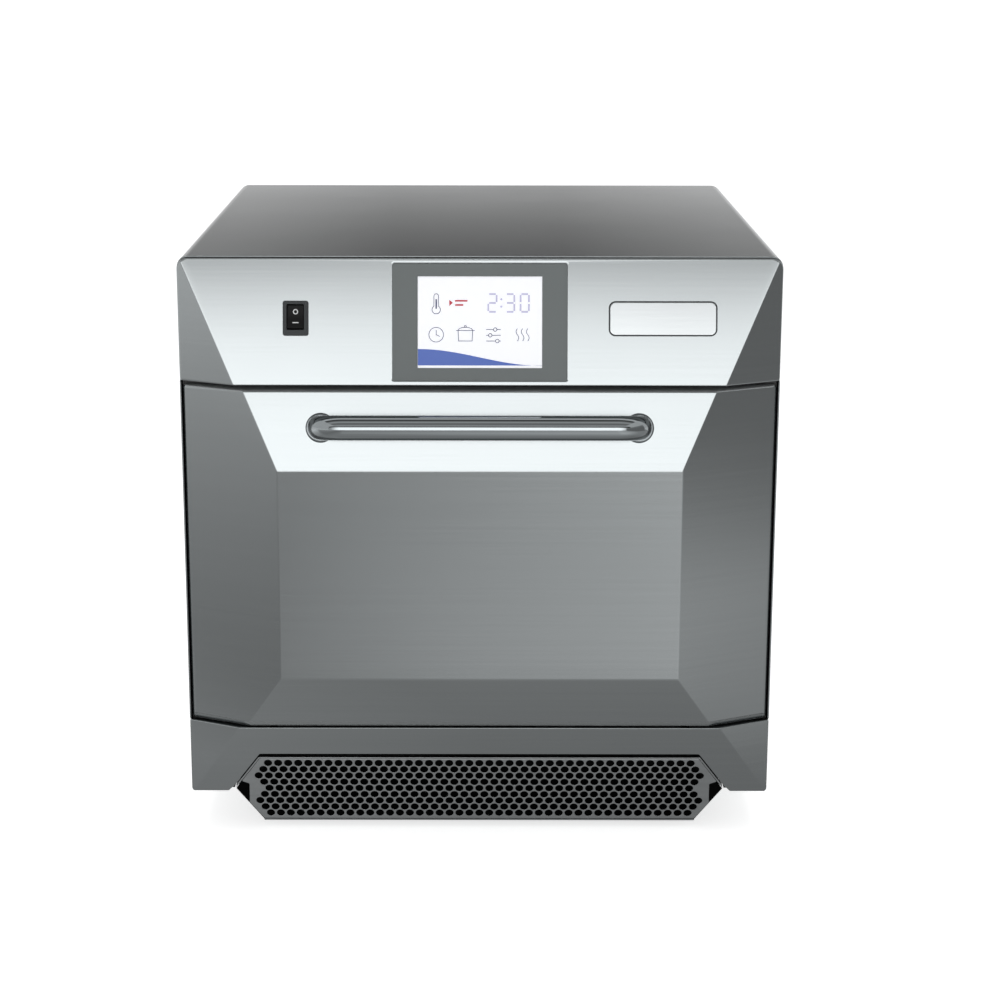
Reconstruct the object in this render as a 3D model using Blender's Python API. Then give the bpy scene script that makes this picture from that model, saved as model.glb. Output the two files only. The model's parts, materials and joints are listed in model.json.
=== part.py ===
"""Countertop speed oven: a steel cabinet with a faceted front, a drop-down door with a
tubular handle, a touch screen, a rocker switch and a pull-out air filter, with the
cavity, fans, microwave and power parts that it holds inside.

Metres, +Z up, +X to the right, the front looks along -Y. The origin is on the counter,
in the middle of the whole outline.
"""

import math

import bmesh
import bpy
from mathutils import Matrix, Vector

# Overall cabinet
overall_width = 0.584
overall_height = 0.591
overall_depth = 0.750
base_height = 0.0452
corner_radius = 0.012
cover_wall = 0.0015
cover_setback = 0.004
rear_panel_wall = 0.0015
tray_wall = 0.002
tray_flange = 0.020
frame_setback = 0.009
frame_wall = 0.002
fit_gap = 0.0003
cut_overrun = 0.004

# Faceted front, measured forward from its reference plane
front_reach = 0.043
top_facet_height = 0.2012
bottom_facet_height = 0.133
side_facet_width = 0.088
front_wall = 0.002
hem_width = 0.0055
fascia_height = 0.1201
lower_panel_height = 0.0768
seam = 0.0063
panel_edge = 0.002
door_inset = 0.0055
door_edge = 0.003

# Door and hinge
door_setback = 0.005
hinge_reach = 0.018
hinge_height = 0.140
pin_radius = 0.0025
pin_clearance = 0.0004
hinge_arm_gap = 0.0085
hinge_arm_wall = 0.0045
hinge_arm_rise = 0.0155
hinge_arm_drop = 0.006
hinge_arm_nose = 0.0055
bracket_offset = 0.0025
bracket_wall = 0.006
bracket_radius = 0.004
bracket_plate_width = 0.022
bracket_plate_height = 0.030
bracket_plate_wall = 0.003
swing_clearance = 0.001
inner_panel_wall = 0.002
choke_margin = 0.024
choke_side_margin = 0.0345
choke_depth = 0.014
choke_wall = 0.0025
seal_margin = 0.0125
seal_width = 0.006
door_insulation_depth = 0.030
hook_width = 0.005
hook_height = 0.008
hook_length = 0.024
hook_drop = 0.0196
hook_gap = 0.0225
interlock_width = 0.020
interlock_height = 0.024
interlock_length = 0.034

# Handle
handle_radius = 0.0115
handle_side_gap = 0.1381
handle_drop = 0.1607
handle_standoff = 0.040
handle_bend = 0.024
collar_radius = 0.0145
collar_height = 0.006

# Touch screen
screen_drop = 0.061
screen_width = 0.168
screen_height = 0.1115
screen_corner = 0.003
screen_recess = 0.0005
screen_flange = 0.004
screen_flange_wall = 0.002
screen_flange_height = 0.090
window_width = 0.121
window_height = 0.088
display_recess = 0.0008
display_margin = 0.006
display_depth = 0.010
board_wall = 0.0016
board_margin = 0.008
board_post_radius = 0.003
board_post_length = 0.006

# Rocker switch
switch_side_gap = 0.1145
switch_drop = 0.0578
switch_frame_width = 0.0247
switch_frame_height = 0.0337
switch_frame_wall = 0.0022
switch_body_wall = 0.0012
switch_body_depth = 0.022
rocker_width = 0.017
rocker_height = 0.0225
rocker_clearance = 0.0006
rocker_end_rise = 0.0025
rocker_middle_rise = 0.0012
rocker_side_depth = 0.003
rocker_keel_depth = 0.008
rocker_keel_height = 0.007
rocker_pivot_depth = 0.001
rocker_pocket_depth = 0.013
rocker_tilt_degrees = 8.0
trunnion_radius = 0.0012
trunnion_length = 0.0012

# Blank badge plate
badge_screen_gap = 0.03585
badge_side_gap = 0.06385
badge_height = 0.0337
badge_corner = 0.0065
badge_wall = 0.0018

# Air intake and filter
cutout_low_gap = 0.038
cutout_high_gap = 0.071
cutout_height = 0.0428
filter_low = 0.0083
filter_high = 0.0854
filter_tip_gap = 0.045
filter_side_gap = 0.072
filter_setback = 0.001
filter_face_wall = 0.0015
filter_face_gap = 0.057
grille_pitch = 0.017
grille_hole_width = 0.0125
grille_margin = 0.005
flange_wall = 0.003
filter_body_inset = 0.0035
filter_body_depth = 0.022
filter_ring_width = 0.010
filter_pad_depth = 0.012
intake_wall = 0.0015
intake_inset = 0.001
intake_depth = 0.085
port_half_width = 0.100
port_height = 0.016
port_drop = 0.012

# Cavity
cavity_floor = 0.180
cavity_side_room = 0.1045
cavity_head_room = 0.193
cavity_rear_room = 0.296
cavity_wall = 0.002
fan_chamber = 0.045
ceramic_wall = 0.006
ceramic_rim = 0.005
stirrer_space = 0.014
insulation_wall = 0.025
insulation_setback = 0.017
impinger_wall = 0.0015
jet_radius = 0.0065
jet_columns = 7
jet_rows = 4
cook_plate_inset = 0.012
cook_plate_wall = 0.004
cook_plate_corner = 0.012

# Convection fan, motor and heating element
fan_radius_share = 0.34
fan_disc_wall = 0.0015
fan_blade_depth = 0.016
fan_blade_share = 0.46
fan_blade_wall = 0.0015
fan_blades = 9
fan_hub_radius = 0.012
fan_clearance = 0.012
shaft_radius = 0.004
shaft_clearance = 0.0008
shaft_engagement = 0.018
motor_radius = 0.042
motor_depth = 0.060
motor_flange_radius = 0.052
motor_flange_wall = 0.003
element_radius_share = 0.422
element_tube_radius = 0.0035
element_opening_degrees = 24.0
element_tail = 0.016
element_clearance = 0.0005

# Microwave feed
waveguide_width = 0.270
waveguide_depth = 0.090
waveguide_height = 0.038
waveguide_wall = 0.0015
waveguide_start = 0.110
feed_radius = 0.028
stirrer_span_share = 0.3525
stirrer_blade_width = 0.018
stirrer_blade_wall = 0.0015
stirrer_rise = 0.006
stirrer_shaft_radius = 0.003
stirrer_clearance = 0.0008
stirrer_engagement = 0.008
stirrer_motor_width = 0.046
stirrer_motor_height = 0.022
magnetron_offset = 0.096
magnetron_width = 0.078
magnetron_depth = 0.086
magnetron_height = 0.052
magnetron_grooves = 4
magnetron_groove = 0.004
magnetron_groove_depth = 0.010
antenna_radius = 0.009
antenna_length = 0.026
antenna_clearance = 0.001

# Power parts on the base tray
transformer_side_gap = 0.137
transformer_width = 0.095
transformer_depth = 0.070
transformer_height = 0.080
transformer_rear_gap = 0.138
coil_overhang = 0.014
coil_width = 0.058
coil_height = 0.048
capacitor_side_gap = 0.047
capacitor_width = 0.034
capacitor_depth = 0.054
capacitor_height = 0.085
terminal_height = 0.010
terminal_radius = 0.003

# Electronics above the cavity
shelf_side_gap = 0.057
shelf_wall = 0.0015
shelf_start = 0.062
shelf_depth = 0.300
relay_board_width = 0.200
relay_board_depth = 0.140
relay_size = 0.022
relays = 4

# Cooling fan, rear outlet and cable entry
cooling_fan_drop = 0.121
cooling_frame_size = 0.150
cooling_frame_depth = 0.038
cooling_bore_radius = 0.070
cooling_rotor_radius = 0.066
cooling_hub_radius = 0.024
cooling_hub_depth = 0.024
cooling_blades = 7
cooling_blade_wall = 0.002
cooling_blade_pitch_degrees = 38.0
cooling_strut_width = 0.006
cooling_plate_depth = 0.006
cooling_spindle_radius = 0.004
outlet_slots = 9
outlet_slot_width = 0.008
outlet_slot_height = 0.112
hood_side_gap = 0.122
hood_half_height = 0.090
hood_depth = 0.05704
hood_wall = 0.0015
gland_side_gap = 0.072
gland_height = 0.100
gland_radius = 0.009
gland_flange_radius = 0.015
gland_flange_depth = 0.006
gland_nose_radius = 0.011
gland_nose_depth = 0.022
gland_tail_depth = 0.012
gland_bore_radius = 0.005

# Feet
foot_radius = 0.020
foot_stem_radius = 0.013
foot_pad_height = 0.012
foot_taper_height = 0.006
foot_side_gap = 0.092
foot_front = 0.125
foot_rear_gap = 0.058

round_steps = 32
small_round_steps = 16
half_width = overall_width / 2
side_slope = side_facet_width / front_reach
top_slope = math.atan(front_reach / top_facet_height)
fascia_low = overall_height - fascia_height
door_high = fascia_low - seam
door_low = base_height + lower_panel_height + seam
door_half_width = half_width - door_inset
low_crease = base_height + bottom_facet_height
high_crease = overall_height - top_facet_height
shell_low = cavity_floor - ceramic_wall - stirrer_space
cavity_top = overall_height - cavity_head_room
cavity_height = cavity_top - cavity_floor
cavity_half_width = half_width - cavity_side_room
hinge_arm_inner = cavity_half_width + hinge_arm_gap
hook_spread = cavity_half_width + hook_gap
handle_half_span = half_width - handle_side_gap
switch_offset = half_width - switch_side_gap
badge_start = screen_width / 2 + screen_flange + badge_screen_gap
badge_end = half_width - badge_side_gap
cutout_low_half_width = half_width - cutout_low_gap
cutout_high_half_width = half_width - cutout_high_gap
filter_tip_half_width = half_width - filter_tip_gap
filter_half_width = half_width - filter_side_gap
filter_face_half_width = half_width - filter_face_gap
fan_radius = fan_radius_share * cavity_height
element_radius = element_radius_share * cavity_height
transformer_offset = half_width - transformer_side_gap
capacitor_offset = half_width - capacitor_side_gap
shelf_half_width = half_width - shelf_side_gap
cooling_fan_height = overall_height - cooling_fan_drop
hood_half_width = half_width - hood_side_gap
gland_offset = half_width - gland_side_gap
foot_offset = half_width - foot_side_gap


def top_reach(z):
    """Forward reach of the upper facet at a height."""
    return (overall_height - z) * front_reach / top_facet_height


def bottom_reach(z):
    """Forward reach of the lower facet at a height."""
    return (z - base_height) * front_reach / bottom_facet_height


def middle_reach(z):
    """Forward reach of the front on its middle line."""
    return min(top_reach(z), bottom_reach(z), front_reach)


handle_foot_height = overall_height - handle_drop
handle_foot_reach = top_reach(handle_foot_height)
handle_reach = handle_foot_reach + handle_standoff * math.cos(top_slope) + handle_radius
front_plane = handle_reach - overall_depth / 2
cabinet_depth = overall_depth - handle_reach - hood_depth
rear_plane = front_plane + cabinet_depth
cavity_depth = cabinet_depth - cavity_rear_room
stirrer_span = stirrer_span_share * cavity_depth
transformer_start = cabinet_depth - transformer_rear_gap
foot_rear = cabinet_depth - foot_rear_gap


def behind(depth):
    """World y of a point this far behind the front's reference plane."""
    return front_plane + depth


# Making and joining shapes

def add_object(name, mesh_builder):
    """Turn a bmesh into a named object with outward faces."""
    bmesh.ops.recalc_face_normals(mesh_builder, faces=mesh_builder.faces)
    mesh = bpy.data.meshes.new(name)
    mesh_builder.to_mesh(mesh)
    mesh_builder.free()
    obj = bpy.data.objects.new(name, mesh)
    bpy.context.scene.collection.objects.link(obj)
    return obj


def hide_as_guide(obj):
    """Keep a cutter or a joined shape out of the finished model."""
    obj.hide_render = True
    obj.display_type = "WIRE"
    return obj


def loft(name, first_ring, last_ring):
    """Closed solid between two rings that have the same number of points."""
    builder = bmesh.new()
    first = [builder.verts.new(point) for point in first_ring]
    last = [builder.verts.new(point) for point in last_ring]
    count = len(first)
    for index in range(count):
        following = (index + 1) % count
        builder.faces.new((first[index], first[following], last[following], last[index]))
    builder.faces.new(first)
    builder.faces.new(last)
    return add_object(name, builder)


def extrude_outline(name, outline, low, high, axis="Y"):
    """Closed prism: the outline lies across the axis and runs from low to high."""
    placed = {
        "X": lambda a, b, level: (level, a, b),
        "Y": lambda a, b, level: (a, level, b),
        "Z": lambda a, b, level: (a, b, level),
    }[axis]
    first = [placed(a, b, low) for a, b in outline]
    last = [placed(a, b, high) for a, b in outline]
    return loft(name, first, last)


def box(name, x_span, y_span, z_span):
    """Rectangular block from its three spans."""
    x_low, x_high = x_span
    z_low, z_high = z_span
    outline = ((x_low, z_low), (x_high, z_low), (x_high, z_high), (x_low, z_high))
    return extrude_outline(name, outline, y_span[0], y_span[1])


def rounded_outline(half_w, low, high, radius, steps=5, lower_radius=0.0):
    """Rectangle outline with round upper corners, and round lower ones if asked."""
    points = []
    corners = (
        (half_w, high, radius, 0.0),
        (-half_w, high, radius, math.pi / 2),
        (-half_w, low, lower_radius, math.pi),
        (half_w, low, lower_radius, 3 * math.pi / 2),
    )
    for x, z, corner, start in corners:
        if corner == 0.0:
            points.append((x, z))
            continue
        centre_x = x - math.copysign(corner, x)
        centre_z = z - corner if z == high else z + corner
        for step in range(steps + 1):
            angle = start + math.pi / 2 * step / steps
            points.append((centre_x + corner * math.cos(angle), centre_z + corner * math.sin(angle)))
    return points


def circle_outline(x, z, radius, steps=small_round_steps, turn=0.0):
    """Points round a circle."""
    angles = [turn + 2 * math.pi * step / steps for step in range(steps)]
    return [(x + radius * math.cos(angle), z + radius * math.sin(angle)) for angle in angles]


def turned(name, profile, steps=round_steps):
    """Turn a profile of (radius, height) points about the object's own Z axis."""
    builder = bmesh.new()
    rings = []
    for radius, height in profile:
        if radius == 0.0:
            rings.append([builder.verts.new((0.0, 0.0, height))])
            continue
        angles = [2 * math.pi * step / steps for step in range(steps)]
        rings.append([builder.verts.new((radius * math.cos(a), radius * math.sin(a), height))
                      for a in angles])
    closed = profile[0][0] != 0.0
    pairs = list(zip(rings, rings[1:]))
    if closed:
        pairs.append((rings[-1], rings[0]))
    for upper, lower in pairs:
        for step in range(steps):
            following = (step + 1) % steps
            if len(upper) == 1:
                builder.faces.new((upper[0], lower[step], lower[following]))
            elif len(lower) == 1:
                builder.faces.new((upper[step], lower[0], upper[following]))
            else:
                builder.faces.new((upper[step], upper[following], lower[following], lower[step]))
    return add_object(name, builder)


def cylinder(name, radius, low, high, steps=round_steps):
    """Solid round bar about the object's own Z axis."""
    return turned(name, ((0.0, low), (radius, low), (radius, high), (0.0, high)), steps)


def tube(name, points, radius, sides_level):
    """Round bar swept along points, with closed ends."""
    curve = bpy.data.curves.new(name, "CURVE")
    curve.dimensions = "3D"
    curve.bevel_depth = radius
    curve.bevel_resolution = sides_level
    curve.use_fill_caps = True
    spline = curve.splines.new("POLY")
    spline.points.add(len(points) - 1)
    for point, place in zip(spline.points, points):
        point.co = (*place, 1.0)
    obj = bpy.data.objects.new(name, curve)
    bpy.context.scene.collection.objects.link(obj)
    return obj


def combine(obj, other, operation):
    """Boolean of two shapes; the second one stays as a hidden guide."""
    hide_as_guide(other)
    modifier = obj.modifiers.new(other.name, "BOOLEAN")
    modifier.operation = operation
    modifier.solver = "EXACT"
    modifier.object = other
    return obj


def cut(obj, other):
    """Take the second shape out of the first."""
    return combine(obj, other, "DIFFERENCE")


def join(obj, other):
    """Weld the second shape to the first."""
    return combine(obj, other, "UNION")


def trim(obj, other):
    """Keep only what lies inside the second shape."""
    return combine(obj, other, "INTERSECT")


def put(obj, x, y, z, rotation=(0.0, 0.0, 0.0)):
    """Place an object by its location and rotation."""
    obj.location = (x, y, z)
    obj.rotation_euler = rotation
    return obj


def point_back(obj, x, depth, z):
    """Place an object so that its own Z axis points to the rear."""
    return put(obj, x, behind(depth), z, (-math.pi / 2, 0.0, 0.0))


def put_on_top_facet(obj, x, z, lift=0.0):
    """Place an object so that its own Z axis is the upper facet's outward normal."""
    y = front_plane - top_reach(z) - lift * math.cos(top_slope)
    return put(obj, x, y, z + lift * math.sin(top_slope), (math.pi / 2 - top_slope, 0.0, 0.0))


def mirrored(sides=("left", "right")):
    """Names and signs of a pair of copies."""
    return zip(sides, (-1, 1))


# Finishes

def paint(obj, colour, roughness, metallic):
    """Give an object its own Principled material; the colour is an sRGB hex string."""
    channels = [int(colour[index:index + 2], 16) / 255 for index in (0, 2, 4)]
    linear = [c / 12.92 if c <= 0.04045 else ((c + 0.055) / 1.055) ** 2.4 for c in channels]
    material = bpy.data.materials.new(obj.name + "_finish")
    material.use_nodes = True
    shader = material.node_tree.nodes["Principled BSDF"]
    shader.inputs["Base Color"].default_value = (*linear, 1.0)
    shader.inputs["Roughness"].default_value = roughness
    shader.inputs["Metallic"].default_value = metallic
    material.diffuse_color = (*linear, 1.0)
    obj.data.materials.append(material)
    return obj


def brushed_steel(obj):
    """Stainless sheet with a brushed face."""
    return paint(obj, "b9bdbf", 0.32, 1.0)


def plain_steel(obj):
    """Zinc-plated chassis sheet."""
    return paint(obj, "9da1a3", 0.45, 1.0)


def polished_steel(obj):
    """Mirror-polished stainless tube."""
    return paint(obj, "d8dbdd", 0.08, 1.0)


def black_steel(obj):
    """Black painted sheet."""
    return paint(obj, "1a1b1c", 0.5, 0.0)


def black_plastic(obj):
    """Black moulded plastic."""
    return paint(obj, "151617", 0.42, 0.0)


def dark_rubber(obj):
    """Dark silicone or rubber."""
    return paint(obj, "26282a", 0.75, 0.0)


def mineral_wool(obj):
    """Pale insulation blanket."""
    return paint(obj, "cfc9b8", 0.95, 0.0)


def board_green(obj):
    """Circuit board laminate."""
    return paint(obj, "2d5a3c", 0.55, 0.0)


def cast_aluminium(obj):
    """Die-cast aluminium."""
    return paint(obj, "a9adaf", 0.4, 1.0)


def smooth(obj, degrees=35.0):
    """Shade round faces smooth and keep real edges sharp."""
    obj.data.shade_smooth()
    obj.data.set_sharp_from_angle(angle=math.radians(degrees))
    return obj


# Faceted front panels

def faceted_block(name, half_w, side_start, heights, back_depth, set_back=0.0):
    """Block whose front follows the upper, lower and side facets of the oven's front.

    Each height gives one row of four points: the two outer edges, and the two creases
    where the side facets meet the middle ones. The side facets start at side_start.
    """
    builder = bmesh.new()
    back = behind(back_depth)
    rows = []
    for z in heights:
        reach = middle_reach(z)
        crease = side_start - reach * side_slope
        edge_reach = (side_start - half_w) / side_slope
        front = [(-half_w, edge_reach), (-crease, reach), (crease, reach), (half_w, edge_reach)]
        row = [builder.verts.new((x, front_plane - d + set_back, z)) for x, d in front]
        row += [builder.verts.new((half_w, back, z)), builder.verts.new((-half_w, back, z))]
        rows.append(row)
    for lower, upper in zip(rows, rows[1:]):
        count = len(lower)
        for index in range(count):
            following = (index + 1) % count
            builder.faces.new((lower[index], lower[following], upper[following], upper[index]))
    builder.faces.new(rows[0])
    builder.faces.new(rows[-1])
    return add_object(name, builder)


def cabinet_prism(name, inset):
    """Prism of the cabinet's front outline, with its round upper corners."""
    outline = rounded_outline(half_width - inset, base_height + inset, overall_height - inset,
                              corner_radius - inset)
    return extrude_outline(name, outline, behind(-front_reach - cut_overrun), rear_plane)


def make_control_fascia():
    """Upper front sheet with holes for the screen and the switch."""
    side_start = half_width - panel_edge
    back = cover_setback - fit_gap
    fascia = faceted_block("control_fascia", half_width + cut_overrun, side_start,
                           (fascia_low, overall_height + cut_overrun), back)
    trim(fascia, cabinet_prism("fascia_outline", 0.0))
    hollow = faceted_block("fascia_hollow", half_width - hem_width, side_start,
                           (fascia_low + front_wall, overall_height - 2 * hem_width),
                           back + cut_overrun, front_wall)
    cut(fascia, hollow)
    window = box("fascia_window", (-screen_width / 2, screen_width / 2),
                 (-screen_height / 2, screen_height / 2), (-front_reach, cut_overrun))
    put_on_top_facet(window, 0.0, overall_height - screen_drop)
    cut(fascia, window)
    body_w, body_h = switch_body_size()
    opening = box("fascia_switch_opening", (-body_w - fit_gap, body_w + fit_gap),
                  (-body_h - fit_gap, body_h + fit_gap), (-front_reach, cut_overrun))
    put_on_top_facet(opening, -switch_offset, overall_height - switch_drop)
    cut(fascia, opening)
    return brushed_steel(fascia)


def make_lower_panel():
    """Lower front sheet with a trapezoid cut-out for the air filter."""
    side_start = half_width - panel_edge
    high = base_height + lower_panel_height
    back = cover_setback - fit_gap
    panel = faceted_block("lower_panel", half_width, side_start, (base_height, high), back)
    hollow = faceted_block("lower_panel_hollow", half_width - hem_width, side_start,
                           (base_height + hem_width, high - front_wall),
                           back + cut_overrun, front_wall)
    cut(panel, hollow)
    slope = (cutout_low_half_width - cutout_high_half_width) / cutout_height
    low_w = cutout_low_half_width + cut_overrun * slope
    low = base_height - cut_overrun
    top = base_height + cutout_height
    outline = ((-low_w, low), (low_w, low), (cutout_high_half_width, top),
               (-cutout_high_half_width, top))
    cut(panel, extrude_outline("lower_panel_cutout", outline, behind(-front_reach),
                               behind(back + cut_overrun)))
    return brushed_steel(panel)


# Cabinet

def make_outer_cover():
    """Wrap-round sheet: two sides and the top."""
    cover = extrude_outline("outer_cover",
                            rounded_outline(half_width, base_height, overall_height, corner_radius),
                            behind(cover_setback), rear_plane)
    inner = rounded_outline(half_width - cover_wall, base_height - cut_overrun,
                            overall_height - cover_wall, corner_radius - cover_wall)
    cut(cover, extrude_outline("outer_cover_hollow", inner, behind(cover_setback - cut_overrun),
                               rear_plane + cut_overrun))
    return brushed_steel(smooth(cover))


def inner_outline():
    """Outline of the plates that close the cover, a small gap inside it."""
    inset = cover_wall + fit_gap
    return rounded_outline(half_width - inset, base_height, overall_height - inset,
                           corner_radius - inset)


def make_front_frame():
    """Chassis front plate round the cavity mouth."""
    front = behind(frame_setback)
    back = front + frame_wall
    frame = extrude_outline("front_frame", inner_outline(), front, back)
    through = (front - cut_overrun, back + cut_overrun)
    cut(frame, box("frame_mouth", (-cavity_half_width, cavity_half_width), through,
                   (cavity_floor, cavity_top)))
    window_half = switch_offset + switch_frame_width
    cut(frame, box("frame_control_window", (-window_half, window_half), through,
                   (fascia_low + hem_width, overall_height - hem_width)))
    low = base_height - cut_overrun
    filter_half = filter_tip_half_width + front_wall
    cut(frame, box("frame_intake_window", (-filter_half, filter_half), through,
                   (low, filter_high + front_wall)))
    hook_z = door_high - hook_drop
    arm_x = hinge_arm_inner + hinge_arm_wall + bracket_offset
    for side, sign in mirrored():
        middle = sign * (arm_x + bracket_wall / 2)
        reach = bracket_wall / 2 + fit_gap
        cut(frame, box("frame_bracket_slot_" + side, (middle - reach, middle + reach), through,
                       (hinge_height - bracket_radius - fit_gap,
                        hinge_height + bracket_radius + fit_gap)))
        hook = sign * hook_spread
        room = hook_width / 2 + swing_clearance
        cut(frame, box("frame_hook_slot_" + side, (hook - room, hook + room), through,
                       (hook_z - hook_height / 2 - swing_clearance,
                        hook_z + hook_height / 2 + 4 * swing_clearance)))
    return black_steel(frame)


def make_rear_panel():
    """Rear sheet with the cooling outlet's slots and the cable entry hole."""
    front = rear_plane - rear_panel_wall
    panel = extrude_outline("rear_panel", inner_outline(), front, rear_plane)
    pitch = 2 * outlet_slot_width
    for index in range(outlet_slots):
        x = (index - (outlet_slots - 1) / 2) * pitch
        slot = box("outlet_slot_" + str(index), (x - outlet_slot_width / 2, x + outlet_slot_width / 2),
                   (front - cut_overrun, rear_plane + cut_overrun),
                   (cooling_fan_height - outlet_slot_height / 2,
                    cooling_fan_height + outlet_slot_height / 2))
        cut(panel, slot)
    hole = cylinder("rear_gland_hole", gland_radius + fit_gap, -cut_overrun,
                    rear_panel_wall + cut_overrun, small_round_steps)
    point_back(hole, gland_offset, cabinet_depth - rear_panel_wall, gland_height)
    cut(panel, hole)
    return plain_steel(panel)


def make_base_tray():
    """Bottom sheet with turned-up edges and room for the intake duct."""
    half = half_width - cover_wall - fit_gap
    front = behind(frame_setback + frame_wall + fit_gap)
    back = rear_plane - rear_panel_wall - fit_gap
    tray = box("base_tray", (-half, half), (front, back), (base_height, base_height + tray_flange))
    cut(tray, box("base_tray_hollow", (-half + tray_wall, half - tray_wall),
                  (front + tray_wall, back - tray_wall),
                  (base_height + tray_wall, base_height + tray_flange + cut_overrun)))
    duct_half = filter_tip_half_width + front_wall
    cut(tray, box("base_tray_duct_opening", (-duct_half, duct_half),
                  (front - cut_overrun, behind(intake_depth + fit_gap)),
                  (base_height - cut_overrun, base_height + tray_flange + cut_overrun)))
    return plain_steel(tray)


def make_rear_hood():
    """Hood that keeps the outlet off the wall; it is open towards the cabinet and below."""
    front = rear_plane + fit_gap
    back = overall_depth / 2
    hood_low = cooling_fan_height - hood_half_height
    hood_high = cooling_fan_height + hood_half_height
    hood = box("rear_exhaust_hood", (-hood_half_width, hood_half_width), (front, back),
               (hood_low, hood_high))
    cut(hood, box("rear_hood_hollow", (-hood_half_width + hood_wall, hood_half_width - hood_wall),
                  (front - cut_overrun, back - hood_wall),
                  (hood_low - cut_overrun, hood_high - hood_wall)))
    return plain_steel(hood)


def make_feet():
    """Four turned feet under the base tray."""
    top = base_height - fit_gap
    profile = ((0.0, 0.0), (foot_radius, 0.0), (foot_radius, foot_pad_height),
               (foot_stem_radius, foot_pad_height + foot_taper_height),
               (foot_stem_radius, top), (0.0, top))
    for end, depth in (("front", foot_front), ("rear", foot_rear)):
        for side, sign in mirrored():
            foot = turned("foot_" + end + "_" + side, profile, small_round_steps)
            put(foot, sign * foot_offset, behind(depth), 0.0)
            dark_rubber(smooth(foot))


# Screen, switch and badge

def make_screen_bezel():
    """Grey frame round the display, with a flange behind the fascia sheet."""
    wall = front_wall * math.cos(top_slope)
    outline = rounded_outline(screen_width / 2 - fit_gap, -screen_height / 2 + fit_gap,
                              screen_height / 2 - fit_gap, screen_corner, 3, screen_corner)
    flange_face = -wall - fit_gap
    bezel = extrude_outline("screen_bezel", outline, flange_face - screen_flange_wall / 2,
                            -screen_recess, "Z")
    reach_w = screen_width / 2 + screen_flange
    flange = box("bezel_flange", (-reach_w, reach_w),
                 (-screen_flange_height / 2, screen_flange_height / 2),
                 (flange_face - screen_flange_wall, flange_face))
    join(bezel, flange)
    window = box("bezel_window", (-window_width / 2, window_width / 2),
                 (-window_height / 2, window_height / 2),
                 (flange_face - screen_flange_wall - cut_overrun, cut_overrun))
    cut(bezel, window)
    for shape in (bezel, flange, window):
        put_on_top_facet(shape, 0.0, overall_height - screen_drop)
    return paint(bezel, "6c7171", 0.3, 0.0)


def display_back():
    """Depth of the display module's flange face behind the upper facet."""
    return front_wall * math.cos(top_slope) + 2 * fit_gap + screen_flange_wall


def make_display():
    """Display with a raised face that fills the bezel's window, and its board behind."""
    face_w = window_width / 2 - fit_gap
    face_h = window_height / 2 - fit_gap
    back = display_back()
    module = box("display_module", (-face_w, face_w), (-face_h, face_h),
                 (-back - display_depth / 2, -display_recess))
    body = box("display_body", (-face_w - display_margin, face_w + display_margin),
               (-face_h - display_margin, face_h + display_margin),
               (-back - display_depth, -back))
    join(module, body)
    board_front = -back - display_depth - fit_gap - board_post_length
    board_w = face_w + board_margin
    board_h = face_h + display_margin
    board = box("control_board", (-board_w, board_w), (-board_h, board_h),
                (board_front - board_wall, board_front))
    shapes = [module, body, board]
    for side, sign in mirrored():
        for level, rise in mirrored(("low", "high")):
            post = cylinder("board_post_" + side + "_" + level, board_post_radius,
                            board_front - board_wall / 2, board_front + board_post_length, 8)
            place_x = sign * (face_w - board_post_radius)
            place_y = rise * (face_h - board_post_radius)
            post.data.transform(Matrix.Translation((place_x, place_y, 0.0)))
            join(board, post)
            shapes.append(post)
    for shape in shapes:
        put_on_top_facet(shape, 0.0, overall_height - screen_drop)
    paint(module, "e6ebf2", 0.12, 0.0)
    board_green(board)


def switch_body_size():
    """Half width and half height of the switch body behind the fascia."""
    width = rocker_width / 2 + rocker_clearance + switch_body_wall
    height = rocker_height / 2 + rocker_clearance + switch_body_wall
    return width, height


def make_switch_housing():
    """Snap-in housing with a pocket and two bearing holes for the rocker."""
    body_w, body_h = switch_body_size()
    frame_w = max(switch_frame_width / 2, body_w + switch_body_wall)
    frame_h = max(switch_frame_height / 2, body_h + switch_body_wall)
    housing = box("switch_housing", (-frame_w, frame_w), (-frame_h, frame_h),
                  (fit_gap, switch_frame_wall))
    body = box("switch_body", (-body_w, body_w), (-body_h, body_h),
               (-switch_body_depth, switch_frame_wall / 2))
    join(housing, body)
    pocket = box("switch_pocket",
                 (-rocker_width / 2 - rocker_clearance, rocker_width / 2 + rocker_clearance),
                 (-rocker_height / 2 - rocker_clearance, rocker_height / 2 + rocker_clearance),
                 (-rocker_pocket_depth, switch_frame_wall + cut_overrun))
    cut(housing, pocket)
    outer = body_w + cut_overrun
    bearing = extrude_outline("switch_bearing",
                              circle_outline(0.0, -rocker_pivot_depth, trunnion_radius + fit_gap),
                              -outer, outer, "X")
    cut(housing, bearing)
    for shape in (housing, body, pocket, bearing):
        put_on_top_facet(shape, -switch_offset, overall_height - switch_drop)
    return black_plastic(housing)


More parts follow.
